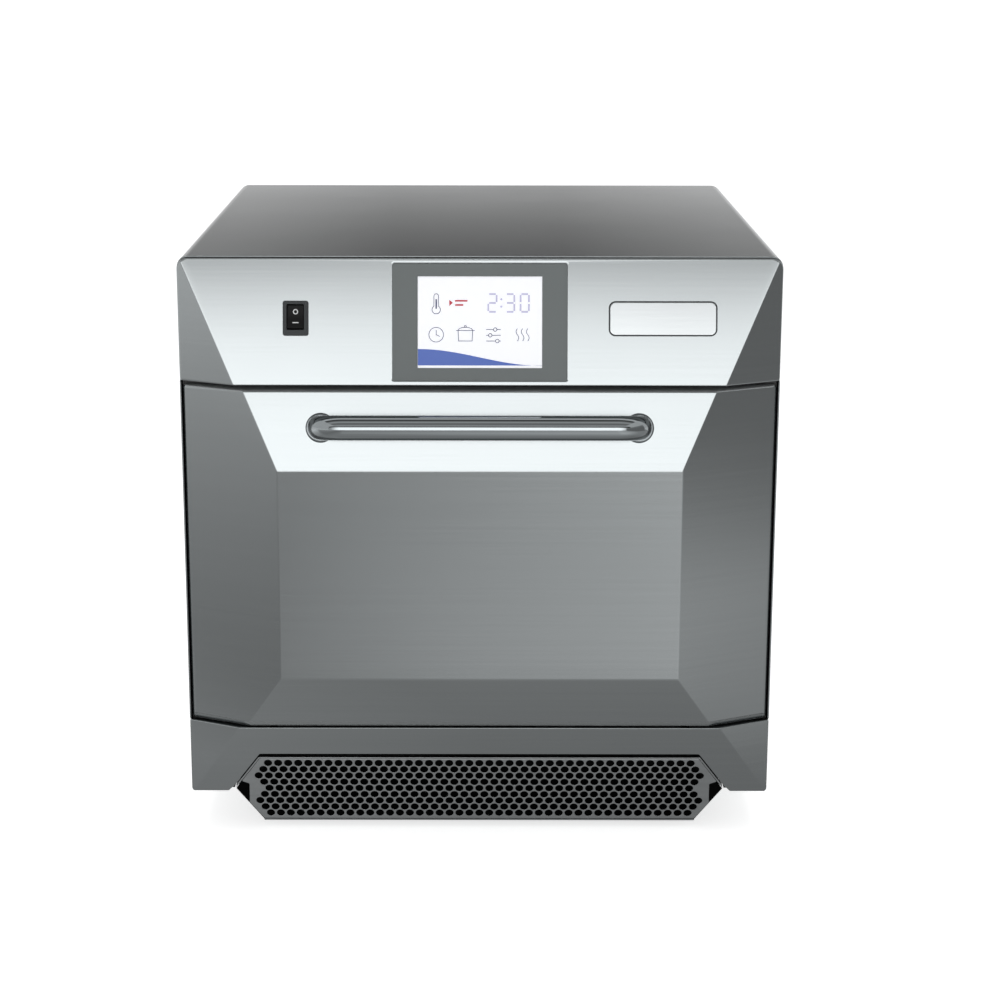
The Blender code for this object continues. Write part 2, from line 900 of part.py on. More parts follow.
def make_switch_rocker():
    """Rocker on two trunnions; it rests with its upper end pressed in."""
    end = rocker_height / 2
    keel = rocker_keel_height / 2
    outline = ((-end, rocker_end_rise), (-end, -rocker_side_depth), (-keel, -rocker_keel_depth),
               (keel, -rocker_keel_depth), (end, -rocker_side_depth), (end, rocker_end_rise),
               (0.0, rocker_middle_rise))
    rocker = extrude_outline("switch_rocker", outline, -rocker_width / 2, rocker_width / 2, "X")
    reach = rocker_width / 2 + rocker_clearance + trunnion_length
    pin = extrude_outline("rocker_trunnions", circle_outline(0.0, 0.0, trunnion_radius),
                          -reach, reach, "X")
    join(rocker, pin)
    tilt = math.radians(rocker_tilt_degrees)
    for shape in (rocker, pin):
        put_on_top_facet(shape, -switch_offset, overall_height - switch_drop, -rocker_pivot_depth)
        shape.rotation_euler[0] -= tilt
    return black_plastic(rocker)


def make_badge_plate():
    """Blank raised plate, right of the screen."""
    outline = rounded_outline((badge_end - badge_start) / 2, -badge_height / 2, badge_height / 2,
                              badge_corner, 4, badge_corner)
    badge = extrude_outline("badge_plate", outline, fit_gap, fit_gap + badge_wall, "Z")
    put_on_top_facet(badge, (badge_start + badge_end) / 2, overall_height - switch_drop)
    return paint(badge, "d9dcde", 0.25, 1.0)


# Air intake

def hexagon(inset, clip=None):
    """Outline of the long six-sided filter, or with its tips clipped off."""
    middle = (filter_low + filter_high) / 2
    half_height = (filter_high - filter_low) / 2
    tip_run = filter_tip_half_width - filter_half_width
    edge = math.hypot(tip_run, half_height)
    tip = filter_tip_half_width - inset * edge / half_height
    high = half_height - inset
    shoulder = tip - tip_run * high / half_height
    if clip is None:
        right = [(shoulder, middle - high), (tip, middle), (shoulder, middle + high)]
    else:
        rise = (tip - clip) * half_height / tip_run
        right = [(shoulder, middle - high), (clip, middle - rise), (clip, middle + rise),
                 (shoulder, middle + high)]
    left = [(-x, z) for x, z in reversed(right)]
    return right + left


def sloped_prism(name, outline, front_offset, back_offset):
    """Prism whose ends lie in the lower facet's slope, at offsets behind that facet."""
    first = [(x, behind(front_offset) - bottom_reach(z), z) for x, z in outline]
    last = [(x, behind(back_offset) - bottom_reach(z), z) for x, z in outline]
    return loft(name, first, last)


def grille_holes(name, front_offset, back_offset):
    """All the grille's six-sided holes as one cutter, in staggered rows."""
    row_pitch = grille_pitch * math.sqrt(3) / 2
    span = filter_high - filter_low - 2 * grille_margin - grille_hole_width
    rows = 1 + int(span / row_pitch)
    middle = (filter_low + filter_high) / 2
    radius = grille_hole_width / math.sqrt(3)
    tip_run = filter_tip_half_width - filter_half_width
    half_height = (filter_high - filter_low) / 2
    builder = bmesh.new()
    for row in range(rows):
        z = middle + (row - (rows - 1) / 2) * row_pitch
        farthest = abs(z - middle) + radius
        limit = filter_tip_half_width - tip_run * farthest / half_height - grille_margin
        limit = min(limit, filter_face_half_width - grille_margin) - grille_hole_width / 2
        shift = grille_pitch / 2 if row % 2 else 0.0
        count = int((limit - shift) / grille_pitch)
        first = -count if shift == 0.0 else -count - 1
        for index in range(first, count + 1):
            outline = circle_outline(index * grille_pitch + shift, z, radius, 6, math.pi / 6)
            ends = []
            for offset in (front_offset, back_offset):
                ends.append([builder.verts.new((a, behind(offset) - bottom_reach(b), b))
                             for a, b in outline])
            near, far = ends
            for point in range(6):
                following = (point + 1) % 6
                builder.faces.new((near[point], near[following], far[following], far[point]))
            builder.faces.new(near)
            builder.faces.new(far)
    return add_object(name, builder)


filter_face_back = filter_setback + filter_face_wall
flange_front = filter_face_back + fit_gap
flange_back = flange_front + flange_wall


def make_filter():
    """Perforated face plate, black frame and filter pad, which pull out together."""
    face = sloped_prism("filter_face", hexagon(0.0, filter_face_half_width), filter_setback,
                        filter_face_back)
    cut(face, grille_holes("grille_cutter", filter_setback - cut_overrun,
                           filter_face_back + cut_overrun))
    brushed_steel(face)
    body_back = flange_front + filter_body_depth
    frame = sloped_prism("filter_frame", hexagon(0.0), flange_front, flange_back)
    join(frame, sloped_prism("filter_frame_body", hexagon(filter_body_inset),
                             (flange_front + flange_back) / 2, body_back))
    cut(frame, sloped_prism("filter_frame_opening", hexagon(filter_ring_width),
                            flange_front - cut_overrun, body_back + cut_overrun))
    black_plastic(frame)
    pad = sloped_prism("filter_pad", hexagon(filter_ring_width + fit_gap), flange_front,
                       flange_front + filter_pad_depth)
    paint(pad, "101112", 0.95, 0.0)
    return [face, frame, pad]


def make_intake_housing():
    """Duct behind the filter, with an outlet in its rear wall above the base tray."""
    middle = (filter_low + filter_high) / 2
    front = flange_back + fit_gap

    def duct(name, inset, start, end):
        outline = hexagon(inset)
        first = [(x, behind(start) - bottom_reach(z), z) for x, z in outline]
        return loft(name, first, [(x, behind(end), z) for x, z in outline])

    housing = duct("intake_housing", intake_inset, front, intake_depth)
    cut(housing, duct("intake_hollow", intake_inset + intake_wall, front - cut_overrun,
                      intake_depth - intake_wall))
    port_low = middle + port_drop
    cut(housing, box("intake_port", (-port_half_width, port_half_width),
                     (behind(intake_depth - intake_wall - cut_overrun),
                      behind(intake_depth + cut_overrun)),
                     (port_low, port_low + port_height)))
    return black_steel(housing)


# Door

def make_door_skin():
    """Hollow faceted outer door sheet with slots for the fixed hinge brackets."""
    side_start = door_half_width - door_edge
    skin = faceted_block("door_skin", door_half_width, side_start,
                         (door_low, low_crease, high_crease, door_high), door_setback)
    hollow = faceted_block("door_skin_hollow", door_half_width - hem_width - front_wall, side_start,
                           (door_low + front_wall, low_crease, high_crease, door_high - front_wall),
                           door_setback + cut_overrun, front_wall)
    cut(skin, hollow)
    for side, low, high in bracket_slots():
        slot = box("skin_bracket_slot_" + side, (low, high),
                   (behind(-hinge_reach - bracket_radius - swing_clearance),
                    behind(door_setback + cut_overrun)),
                   (door_low - cut_overrun, door_low + front_wall + cut_overrun))
        cut(skin, slot)
    return brushed_steel(skin)


def bracket_slots():
    """Side names and x spans of the slots that the fixed brackets reach through."""
    start = hinge_arm_inner + hinge_arm_wall + bracket_offset - swing_clearance
    end = start + bracket_wall + 2 * swing_clearance
    return (("left", -end, -start), ("right", start, end))


def door_pan_half_width():
    """Half width of the plate that closes the door's back."""
    return door_half_width - hem_width - front_wall - fit_gap


def make_door_inner_panel():
    """Flat plate that closes the back of the door skin."""
    half = door_pan_half_width()
    inset = front_wall + fit_gap
    back = door_setback
    panel = box("door_inner_panel", (-half, half), (behind(back - inner_panel_wall), behind(back)),
                (door_low + inset, door_high - inset))
    for side, low, high in bracket_slots():
        cut(panel, box("panel_bracket_slot_" + side, (low, high),
                       (behind(back - inner_panel_wall - cut_overrun), behind(back + cut_overrun)),
                       (door_low, hinge_height + bracket_radius + swing_clearance)))
    return plain_steel(panel)


def ring_box(name, half_w, low, high, wall, front, back):
    """Rectangular ring of one wall thickness."""
    ring = box(name, (-half_w, half_w), (front, back), (low, high))
    cut(ring, box(name + "_opening", (-half_w + wall, half_w - wall),
                  (front - cut_overrun, back + cut_overrun), (low + wall, high - wall)))
    return ring


def make_door_filling():
    """Choke ring and insulation inside the door, and the seal on its back."""
    back = door_setback - inner_panel_wall - fit_gap
    half = cavity_half_width + choke_side_margin
    low = cavity_floor - choke_margin
    high = cavity_top + choke_margin
    choke = ring_box("door_choke_frame", half, low, high, choke_wall, behind(back - choke_depth),
                     behind(back))
    plain_steel(choke)
    inset = choke_wall + fit_gap
    wool_reach = door_insulation_depth - back + 2 * front_wall
    side_room = door_half_width - door_edge - wool_reach * side_slope
    wool_half = min(half - inset, side_room)
    wool = box("door_insulation", (-wool_half, wool_half),
               (behind(back - door_insulation_depth), behind(back)), (low + inset, high - inset))
    mineral_wool(wool)
    seal = ring_box("door_seal", cavity_half_width + seal_margin, cavity_floor - seal_margin,
                    cavity_top + seal_margin, seal_width, behind(door_setback + fit_gap),
                    behind(frame_setback - fit_gap))
    dark_rubber(seal)
    return [choke, wool, seal]


def make_handle():
    """Bent round bar that stands off the upper facet, with a collar on each foot."""
    normal = Vector((0.0, -math.cos(top_slope), math.sin(top_slope)))
    foot = Vector((0.0, front_plane - handle_foot_reach, handle_foot_height))
    half_path = []
    steps = 8
    for step in range(steps + 1):
        angle = math.pi / 2 * step / steps
        x = handle_half_span - handle_bend * (1 - math.cos(angle))
        rise = handle_standoff - handle_bend * (1 - math.sin(angle))
        half_path.append((x, rise))
    half_path.insert(0, (handle_half_span, fit_gap))
    full_path = half_path + [(-x, rise) for x, rise in reversed(half_path)]
    points = [foot + normal * rise + Vector((x, 0.0, 0.0)) for x, rise in full_path]
    pieces = [polished_steel(smooth_curve(tube("door_handle", points, handle_radius, 6)))]
    bore = handle_radius + fit_gap
    profile = ((bore, fit_gap), (collar_radius, fit_gap), (collar_radius, collar_height),
               (bore, collar_height))
    for side, sign in mirrored():
        collar = smooth(turned("handle_collar_" + side, profile))
        put_on_top_facet(collar, sign * handle_half_span, handle_foot_height)
        pieces.append(polished_steel(collar))
    return pieces


def smooth_curve(obj):
    """Shade a swept bar smooth."""
    for spline in obj.data.splines:
        spline.use_smooth = True
    return obj


def make_hinge_arms():
    """Door-side hinge plates with the hole that turns on the fixed pin."""
    arms = []
    back = door_setback - inner_panel_wall - fit_gap
    top = min(hinge_height + hinge_arm_rise, cavity_floor - choke_margin - fit_gap)
    low = hinge_height - hinge_arm_drop
    nose = hinge_reach + hinge_arm_nose
    outline = ((behind(back), top), (behind(-nose / 2), top), (behind(-nose), hinge_height),
               (behind(-nose), low), (behind(back), low))
    for side, sign in mirrored():
        start = sign * hinge_arm_inner
        end = sign * (hinge_arm_inner + hinge_arm_wall)
        arm = extrude_outline("hinge_arm_" + side, outline, start, end, "X")
        overrun = sign * cut_overrun
        hole = extrude_outline("hinge_arm_hole_" + side,
                               circle_outline(behind(-hinge_reach), hinge_height,
                                              pin_radius + pin_clearance),
                               start - overrun, end + overrun, "X")
        cut(arm, hole)
        arms.append(plain_steel(arm))
    return arms


def make_hinge_brackets():
    """Fixed brackets behind the front frame, each with its pin at the end of a round-nosed arm."""
    plate_front = frame_setback + frame_wall + fit_gap
    start = hinge_arm_inner + hinge_arm_wall + bracket_offset
    nose = [(behind(-hinge_reach) - bracket_radius * math.sin(angle),
             hinge_height + bracket_radius * math.cos(angle))
            for angle in [math.pi * step / 8 for step in range(9)]]
    back = behind(plate_front + bracket_plate_wall / 2)
    outline = nose + [(back, hinge_height - bracket_radius), (back, hinge_height + bracket_radius)]
    for side, sign in mirrored():
        bracket = extrude_outline("hinge_bracket_" + side, outline, sign * start,
                                  sign * (start + bracket_wall), "X")
        plate_x = sorted((sign * (start - bracket_plate_width / 2 + bracket_wall),
                          sign * (start + bracket_plate_width / 2 + bracket_wall)))
        join(bracket, box("bracket_plate_" + side, plate_x,
                          (behind(plate_front), behind(plate_front + bracket_plate_wall)),
                          (hinge_height - bracket_plate_height / 2,
                           hinge_height + bracket_plate_height / 2)))
        join(bracket, extrude_outline("bracket_pin_" + side,
                                      circle_outline(behind(-hinge_reach), hinge_height, pin_radius),
                                      sign * hinge_arm_inner, sign * (start + bracket_wall / 2), "X"))
        plain_steel(bracket)


def make_interlocks():
    """Hooks on the door, and the switches that they enter behind the front frame."""
    hooks = []
    z = door_high - hook_drop
    plate_front = frame_setback + frame_wall + fit_gap
    tip = door_setback + fit_gap + hook_length
    for side, sign in mirrored():
        x = sign * hook_spread
        hook = box("interlock_hook_" + side, (x - hook_width / 2, x + hook_width / 2),
                   (behind(door_setback + fit_gap), behind(tip)),
                   (z - hook_height / 2, z + hook_height / 2))
        hooks.append(plain_steel(hook))
        switch = box("interlock_switch_" + side,
                     (x - interlock_width / 2, x + interlock_width / 2),
                     (behind(plate_front), behind(plate_front + interlock_length)),
                     (z - interlock_height / 2, z + interlock_height / 2))
        room = hook_width / 2 + swing_clearance
        cut(switch, box("interlock_pocket_" + side, (x - room, x + room),
                        (behind(plate_front - cut_overrun), behind(tip + 2 * swing_clearance)),
                        (z - hook_height / 2 - swing_clearance,
                         z + hook_height / 2 + 4 * swing_clearance)))
        black_plastic(switch)
    return hooks


# Cavity

shell_front = frame_setback + frame_wall + fit_gap
impinger_front = shell_front + cavity_depth
shell_back = impinger_front + impinger_wall + fan_chamber + cavity_wall
fan_height = cavity_floor + cavity_height / 2
insulation_back = shell_back + fit_gap + insulation_wall


def element_leg_places():
    """Places of the heating element's two legs, below the fan's axis."""
    half_opening = math.radians(element_opening_degrees) / 2
    drop = element_radius * math.cos(half_opening)
    spread = element_radius * math.sin(half_opening)
    return ((-spread, fan_height - drop), (spread, fan_height - drop))


def leg_holes(obj, prefix, low, high):
    """Cut clearance holes for the element's legs through a rear wall."""
    for index, (x, z) in enumerate(element_leg_places()):
        hole = extrude_outline(prefix + "_leg_hole_" + str(index),
                               circle_outline(x, z, element_tube_radius + element_clearance),
                               behind(low), behind(high))
        cut(obj, hole)


def make_oven_cavity():
    """Stainless cooking cavity, with the fan's space behind the jet plate."""
    outer_w = cavity_half_width + cavity_wall
    shell = box("oven_cavity", (-outer_w, outer_w), (behind(shell_front), behind(shell_back)),
                (shell_low - cavity_wall, cavity_top + cavity_wall))
    cut(shell, box("oven_cavity_hollow", (-cavity_half_width, cavity_half_width),
                   (behind(shell_front - cut_overrun), behind(shell_back - cavity_wall)),
                   (shell_low, cavity_top)))
    rear = (shell_back - cavity_wall - cut_overrun, shell_back + cut_overrun)
    cut(shell, extrude_outline("cavity_shaft_hole",
                               circle_outline(0.0, fan_height, shaft_radius + shaft_clearance),
                               behind(rear[0]), behind(rear[1])))
    leg_holes(shell, "cavity", *rear)
    feed = cylinder("cavity_feed_hole", feed_radius, -cavity_wall - cut_overrun, cut_overrun)
    put(feed, 0.0, behind(waveguide_start + waveguide_depth / 2), shell_low)
    cut(shell, feed)
    return paint(shell, "a4a8aa", 0.3, 1.0)


def make_insulation():
    """Blanket round the cavity, open at the front and cut out for what passes through."""
    inner_w = cavity_half_width + cavity_wall + fit_gap
    low = shell_low - cavity_wall - fit_gap
    high = cavity_top + cavity_wall + fit_gap
    blanket = box("cavity_insulation", (-inner_w - insulation_wall, inner_w + insulation_wall),
                  (behind(insulation_setback), behind(insulation_back)),
                  (low - insulation_wall, high + insulation_wall))
    cut(blanket, box("insulation_hollow", (-inner_w, inner_w),
                     (behind(insulation_setback - cut_overrun), behind(shell_back + fit_gap)),
                     (low, high)))
    rear = (shell_back - cut_overrun, insulation_back + cut_overrun)
    cut(blanket, extrude_outline("insulation_shaft_hole",
                                 circle_outline(0.0, fan_height, shaft_radius + shaft_clearance),
                                 behind(rear[0]), behind(rear[1])))
    leg_holes(blanket, "insulation", *rear)
    reach = waveguide_width / 2 + fit_gap
    cut(blanket, box("insulation_feed_opening", (-reach, reach),
                     (behind(waveguide_start - fit_gap),
                      behind(waveguide_start + waveguide_depth + fit_gap)),
                     (low - insulation_wall - cut_overrun, low + cut_overrun)))
    return mineral_wool(blanket)


def make_ceramic_floor():
    """Ceramic plate on a rim, with room under it for the stirrer."""
    half = cavity_half_width - fit_gap
    front = shell_front + fit_gap
    back = impinger_front - fit_gap
    low = shell_low + fit_gap
    floor = box("ceramic_floor", (-half, half), (behind(front), behind(back)), (low, cavity_floor))
    cut(floor, box("ceramic_hollow", (-half + ceramic_rim, half - ceramic_rim),
                   (behind(front + ceramic_rim), behind(back - ceramic_rim)),
                   (low - cut_overrun, cavity_floor - ceramic_wall)))
    return paint(floor, "e4e0d6", 0.35, 0.0)


def make_impinger_plate():
    """Sheet with rows of round jet holes at the back of the cooking space."""
    half = cavity_half_width - fit_gap
    front = behind(impinger_front)
    back = front + impinger_wall
    plate = box("impinger_plate", (-half, half), (front, back),
                (shell_low + fit_gap, cavity_top - fit_gap))
    column_pitch = 2 * cavity_half_width / (jet_columns + 1)
    row_pitch = cavity_height / (jet_rows + 1)
    for column in range(jet_columns):
        x = (column - (jet_columns - 1) / 2) * column_pitch
        for row in range(jet_rows):
            z = cavity_floor + (row + 1) * row_pitch
            cut(plate, extrude_outline("jet_" + str(column) + "_" + str(row),
                                       circle_outline(x, z, jet_radius, 8),
                                       front - cut_overrun, back + cut_overrun))
    return plain_steel(plate)


def make_cook_plate():
    """Loose metal plate that rests on the ceramic floor."""
    half = cavity_half_width - cook_plate_inset
    front = shell_front + cook_plate_inset
    back = impinger_front - cook_plate_inset
    outline = rounded_outline(half, behind(front), behind(back), cook_plate_corner, 4,
                              cook_plate_corner)
    low = cavity_floor + fit_gap
    plate = extrude_outline("cook_plate", outline, low, low + cook_plate_wall, "Z")
    return paint(plate, "3b3c3d", 0.6, 0.0)


def make_convection_fan():
    """Bladed wheel with its shaft; its own Z axis points to the rear."""
    disc_back = fan_chamber - fan_clearance
    disc_front = disc_back - fan_disc_wall
    shaft_end = fan_chamber + cavity_wall + fit_gap + insulation_wall + shaft_engagement
    wheel = cylinder("convection_fan", fan_radius, disc_front, disc_back)
    join(wheel, cylinder("fan_hub", fan_hub_radius, disc_front - fan_blade_depth,
                         disc_back - fan_disc_wall / 2, small_round_steps))
    join(wheel, cylinder("fan_shaft", shaft_radius, disc_front, shaft_end, small_round_steps))
    shapes = [wheel, bpy.data.objects["fan_hub"], bpy.data.objects["fan_shaft"]]
    outer = fan_radius - fan_blade_wall
    inner = outer - fan_blade_share * fan_radius
    for index in range(fan_blades):
        blade = box("fan_blade_" + str(index), (inner, outer),
                    (-fan_blade_wall / 2, fan_blade_wall / 2),
                    (disc_front - fan_blade_depth, disc_back - fan_disc_wall / 2))
        blade.data.transform(Matrix.Rotation(2 * math.pi * index / fan_blades, 4, "Z"))
        join(wheel, blade)
        shapes.append(blade)
    for shape in shapes:
        point_back(shape, 0.0, impinger_front + impinger_wall, fan_height)
    return paint(wheel, "8f9496", 0.4, 1.0)


def make_fan_motor():
    """Motor on the rear of the insulation, bored for the fan's shaft."""
    start = insulation_back + fit_gap
    profile = ((0.0, 0.0), (motor_flange_radius, 0.0), (motor_flange_radius, motor_flange_wall),
               (motor_radius, motor_flange_wall), (motor_radius, motor_depth), (0.0, motor_depth))
    motor = smooth(turned("fan_motor", profile))
    bore = cylinder("fan_motor_bore", shaft_radius + fit_gap, -cut_overrun,
                    shaft_engagement + fit_gap, small_round_steps)
    cut(motor, bore)
    for shape in (motor, bore):
        point_back(shape, 0.0, start, fan_height)
    return paint(motor, "4c5052", 0.5, 1.0)


def make_heating_element():
    """Open ring round the fan with two legs through the rear wall."""
    half_opening = math.radians(element_opening_degrees) / 2
    depth = behind(impinger_front + impinger_wall + fan_chamber / 2)
    end = behind(insulation_back + element_tail)
    steps = 28
    ring = []
    for step in range(steps + 1):
        angle = half_opening + (2 * math.pi - 2 * half_opening) * step / steps
        ring.append((-element_radius * math.sin(angle), depth,
                     fan_height - element_radius * math.cos(angle)))
    first, last = ring[0], ring[-1]
    points = [(first[0], end, first[2])] + ring + [(last[0], end, last[2])]
    element = smooth_curve(tube("heating_element", points, element_tube_radius, 2))
    return paint(element, "5a4f47", 0.5, 1.0)


# Microwave feed

guide_top = shell_low - cavity_wall - fit_gap
guide_low = guide_top - waveguide_height
guide_middle = waveguide_start + waveguide_depth / 2


def make_waveguide():
    """Flat duct under the cavity, with holes for the feed, the antennas and the stirrer."""
    half = waveguide_width / 2
    span = (behind(waveguide_start), behind(waveguide_start + waveguide_depth))
    guide = box("waveguide", (-half, half), span, (guide_low, guide_top))
    cut(guide, box("waveguide_hollow", (-half + waveguide_wall, half - waveguide_wall),
                   (span[0] + waveguide_wall, span[1] - waveguide_wall),
                   (guide_low + waveguide_wall, guide_top - waveguide_wall)))
    holes = [("guide_feed", 0.0, feed_radius, guide_top - waveguide_wall - cut_overrun,
              guide_top + cut_overrun),
             ("guide_shaft", 0.0, stirrer_shaft_radius + stirrer_clearance,
              guide_low - cut_overrun, guide_low + waveguide_wall + cut_overrun)]
    for side, sign in mirrored():
        holes.append(("guide_antenna_" + side, sign * magnetron_offset,
                      antenna_radius + antenna_clearance, guide_low - cut_overrun,
                      guide_low + waveguide_wall + cut_overrun))
    for name, x, radius, low, high in holes:
        cut(guide, extrude_outline(name, circle_outline(x, behind(guide_middle), radius),
                                   low, high, "Z"))
    return cast_aluminium(guide)


def make_magnetrons():
    """Two magnetrons under the waveguide, with cooling grooves and an antenna each."""
    top = guide_low - fit_gap
    for side, sign in mirrored():
        x = sign * magnetron_offset
        body = box("magnetron_" + side, (x - magnetron_width / 2, x + magnetron_width / 2),
                   (behind(guide_middle - magnetron_depth / 2),
                    behind(guide_middle + magnetron_depth / 2)), (top - magnetron_height, top))
        join(body, extrude_outline("antenna_" + side,
                                   circle_outline(x, behind(guide_middle), antenna_radius),
                                   top - magnetron_groove, top + antenna_length, "Z"))
        outer = x + sign * magnetron_width / 2
        groove_x = sorted((outer - sign * magnetron_groove_depth, outer + sign * cut_overrun))
        groove_y = (behind(guide_middle - magnetron_depth), behind(guide_middle + magnetron_depth))
        pitch = magnetron_height / (magnetron_grooves + 1)
        for index in range(magnetron_grooves):
            z = top - (index + 1) * pitch
            cut(body, box("magnetron_groove_" + side + "_" + str(index), groove_x, groove_y,
                          (z - magnetron_groove / 2, z + magnetron_groove / 2)))
        cast_aluminium(body)


def make_stirrer():
    """Crossed blade over the feed hole, its shaft, and the motor below the waveguide."""
    motor_top = guide_low - fit_gap
    y = behind(guide_middle)
    half = stirrer_motor_width / 2
    motor = box("stirrer_motor", (-half, half), (y - half, y + half),
                (motor_top - stirrer_motor_height, motor_top))
    cut(motor, extrude_outline("stirrer_motor_bore",
                               circle_outline(0.0, y, stirrer_shaft_radius + fit_gap),
                               motor_top - stirrer_engagement - fit_gap, motor_top + cut_overrun, "Z"))
    paint(motor, "6d7172", 0.5, 1.0)
    blade_low = shell_low + stirrer_rise - motor_top
    top = blade_low + stirrer_blade_wall
    blade = cylinder("stirrer_blade", stirrer_shaft_radius, -stirrer_engagement, top, small_round_steps)
    put(blade, 0.0, y, motor_top)
    arm = stirrer_span / 2
    width = stirrer_blade_width / 2
    for name, reach_x, reach_y in (("stirrer_arm_x", arm, width), ("stirrer_arm_y", width, arm)):
        bar = box(name, (-reach_x, reach_x), (-reach_y, reach_y), (blade_low, top))
        join(blade, put(bar, 0.0, y, motor_top))
    return paint(blade, "b4b7b8", 0.35, 1.0)


# Power parts

def make_transformers():
    """Two high-voltage transformers on the tray, each a core with its coil."""
    low = base_height + tray_wall + fit_gap
    span = (behind(transformer_start), behind(transformer_start + transformer_depth))
    middle = low + transformer_height / 2
    for side, sign in mirrored():
        x = sign * transformer_offset
        core = box("transformer_" + side, (x - transformer_width / 2, x + transformer_width / 2),
                   span, (low, low + transformer_height))
        join(core, box("coil_" + side, (x - coil_width / 2, x + coil_width / 2),
                       (span[0] - coil_overhang, span[1] + coil_overhang),
                       (middle - coil_height / 2, middle + coil_height / 2)))
        paint(core, "6b4a35", 0.6, 1.0)


def make_capacitors():
    """Two capacitor cans with a pair of terminals each."""
    low = base_height + tray_wall + fit_gap
    top = low + capacitor_height
    y = behind(transformer_start + transformer_depth / 2)
    for side, sign in mirrored():
        x = sign * capacitor_offset
        can = box("capacitor_" + side, (x - capacitor_width / 2, x + capacitor_width / 2),
                  (y - capacitor_depth / 2, y + capacitor_depth / 2), (low, top))
        for end, shift in mirrored(("front", "rear")):
            place = y + shift * capacitor_depth / 4
            join(can, extrude_outline("terminal_" + side + "_" + end,
                                      circle_outline(x, place, terminal_radius, 8),
                                      top - terminal_radius, top + terminal_height, "Z"))
        paint(can, "8c9092", 0.35, 1.0)


def make_electronics():
    """Shelf over the insulation and the relay board on it."""
    low = cavity_top + cavity_wall + insulation_wall + 2 * fit_gap
    top = low + shelf_wall
    shelf = box("electronics_shelf", (-shelf_half_width, shelf_half_width),
                (behind(shelf_start), behind(shelf_start + shelf_depth)), (low, top))
    plain_steel(shelf)
    middle = shelf_start + shelf_depth / 2
    board_low = top + fit_gap + board_post_length
    half_w = relay_board_width / 2
    half_d = relay_board_depth / 2
    board = box("relay_board", (-half_w, half_w), (behind(middle - half_d), behind(middle + half_d)),
                (board_low, board_low + board_wall))
    for side, sign in mirrored():
        for end, shift in mirrored(("front", "rear")):
            x = sign * (half_w - 2 * board_post_radius)
            y = behind(middle + shift * (half_d - 2 * board_post_radius))
            join(board, extrude_outline("relay_post_" + side + "_" + end,
                                        circle_outline(x, y, board_post_radius, 8),
                                        top + fit_gap, board_low + board_wall / 2, "Z"))
    for index in range(relays):
        x = (index - (relays - 1) / 2) * 2 * relay_size
        join(board, box("relay_" + str(index), (x - relay_size / 2, x + relay_size / 2),
                        (behind(middle) - relay_size / 2, behind(middle) + relay_size / 2),
                        (board_low + board_wall / 2, board_low + board_wall + relay_size)))
    board_green(board)


# Cooling fan and cable entry

def make_cooling_frame():
    """Square fan frame with a round bore, and a hub plate on three struts."""
    half = cooling_frame_size / 2
    frame = box("cooling_fan_frame", (-half, half), (-half, half), (-cooling_frame_depth, 0.0))
    bore = cylinder("cooling_bore", cooling_bore_radius, -cooling_frame_depth - cut_overrun, cut_overrun)
    cut(frame, bore)
    hub = cylinder("cooling_hub", cooling_hub_radius, -cooling_plate_depth, 0.0, small_round_steps)
    join(frame, hub)
    shapes = [frame, bore, hub]
    for index in range(3):
        strut = box("cooling_strut_" + str(index), (cooling_hub_radius / 2, cooling_bore_radius
                                                    + cooling_strut_width / 2),
                    (-cooling_strut_width / 2, cooling_strut_width / 2),
                    (-cooling_plate_depth, 0.0))
        strut.data.transform(Matrix.Rotation(math.pi / 2 + 2 * math.pi * index / 3, 4, "Z"))
        join(frame, strut)
        shapes.append(strut)
    spindle_hole = cylinder("cooling_spindle_hole", cooling_spindle_radius + fit_gap,
                            -cooling_plate_depth - cut_overrun, -cooling_plate_depth / 3,
                            small_round_steps)
    cut(frame, spindle_hole)
    shapes.append(spindle_hole)
    for shape in shapes:
        point_back(shape, 0.0, cabinet_depth - rear_panel_wall - fit_gap, cooling_fan_height)
    return black_plastic(frame)


def make_cooling_rotor():
    """Bladed rotor with the spindle that turns in the frame's hub plate."""
    back = -cooling_plate_depth - fit_gap
    front = back - cooling_hub_depth
    hub = cylinder("cooling_rotor", cooling_hub_radius, front, back, small_round_steps)
    spindle = cylinder("cooling_spindle", cooling_spindle_radius, back - cooling_spindle_radius,
                       -cooling_plate_depth / 3 - fit_gap, small_round_steps)
    join(hub, spindle)
    shapes = [hub, spindle]
    pitch = math.radians(cooling_blade_pitch_degrees)
    half_chord = cooling_hub_depth / 2 / math.cos(pitch) - cooling_blade_wall
    middle = (front + back) / 2
    for index in range(cooling_blades):
        blade = box("cooling_blade_" + str(index), (cooling_hub_radius / 2, cooling_rotor_radius),
                    (-cooling_blade_wall / 2, cooling_blade_wall / 2), (-half_chord, half_chord))
        turn = (Matrix.Rotation(2 * math.pi * index / cooling_blades, 4, "Z")
                @ Matrix.Translation((0.0, 0.0, middle)) @ Matrix.Rotation(pitch, 4, "X"))
        blade.data.transform(turn)
        join(hub, blade)
        shapes.append(blade)
    for shape in shapes:
        point_back(shape, 0.0, cabinet_depth - rear_panel_wall - fit_gap, cooling_fan_height)
    return black_plastic(hub)


def make_cable_gland():
    """Empty gland in the rear panel, bored for a supply cable."""
    tail = -rear_panel_wall - gland_tail_depth
    nose = fit_gap + gland_flange_depth
    profile = ((gland_bore_radius, tail), (gland_radius, tail), (gland_radius, fit_gap),
               (gland_flange_radius, fit_gap), (gland_flange_radius, nose),
               (gland_nose_radius, nose), (gland_nose_radius, gland_nose_depth),
               (gland_bore_radius, gland_nose_depth))
    gland = smooth(turned("cable_gland", profile, small_round_steps))
    point_back(gland, gland_offset, cabinet_depth, gland_height)
    return black_plastic(gland)


# Assembly

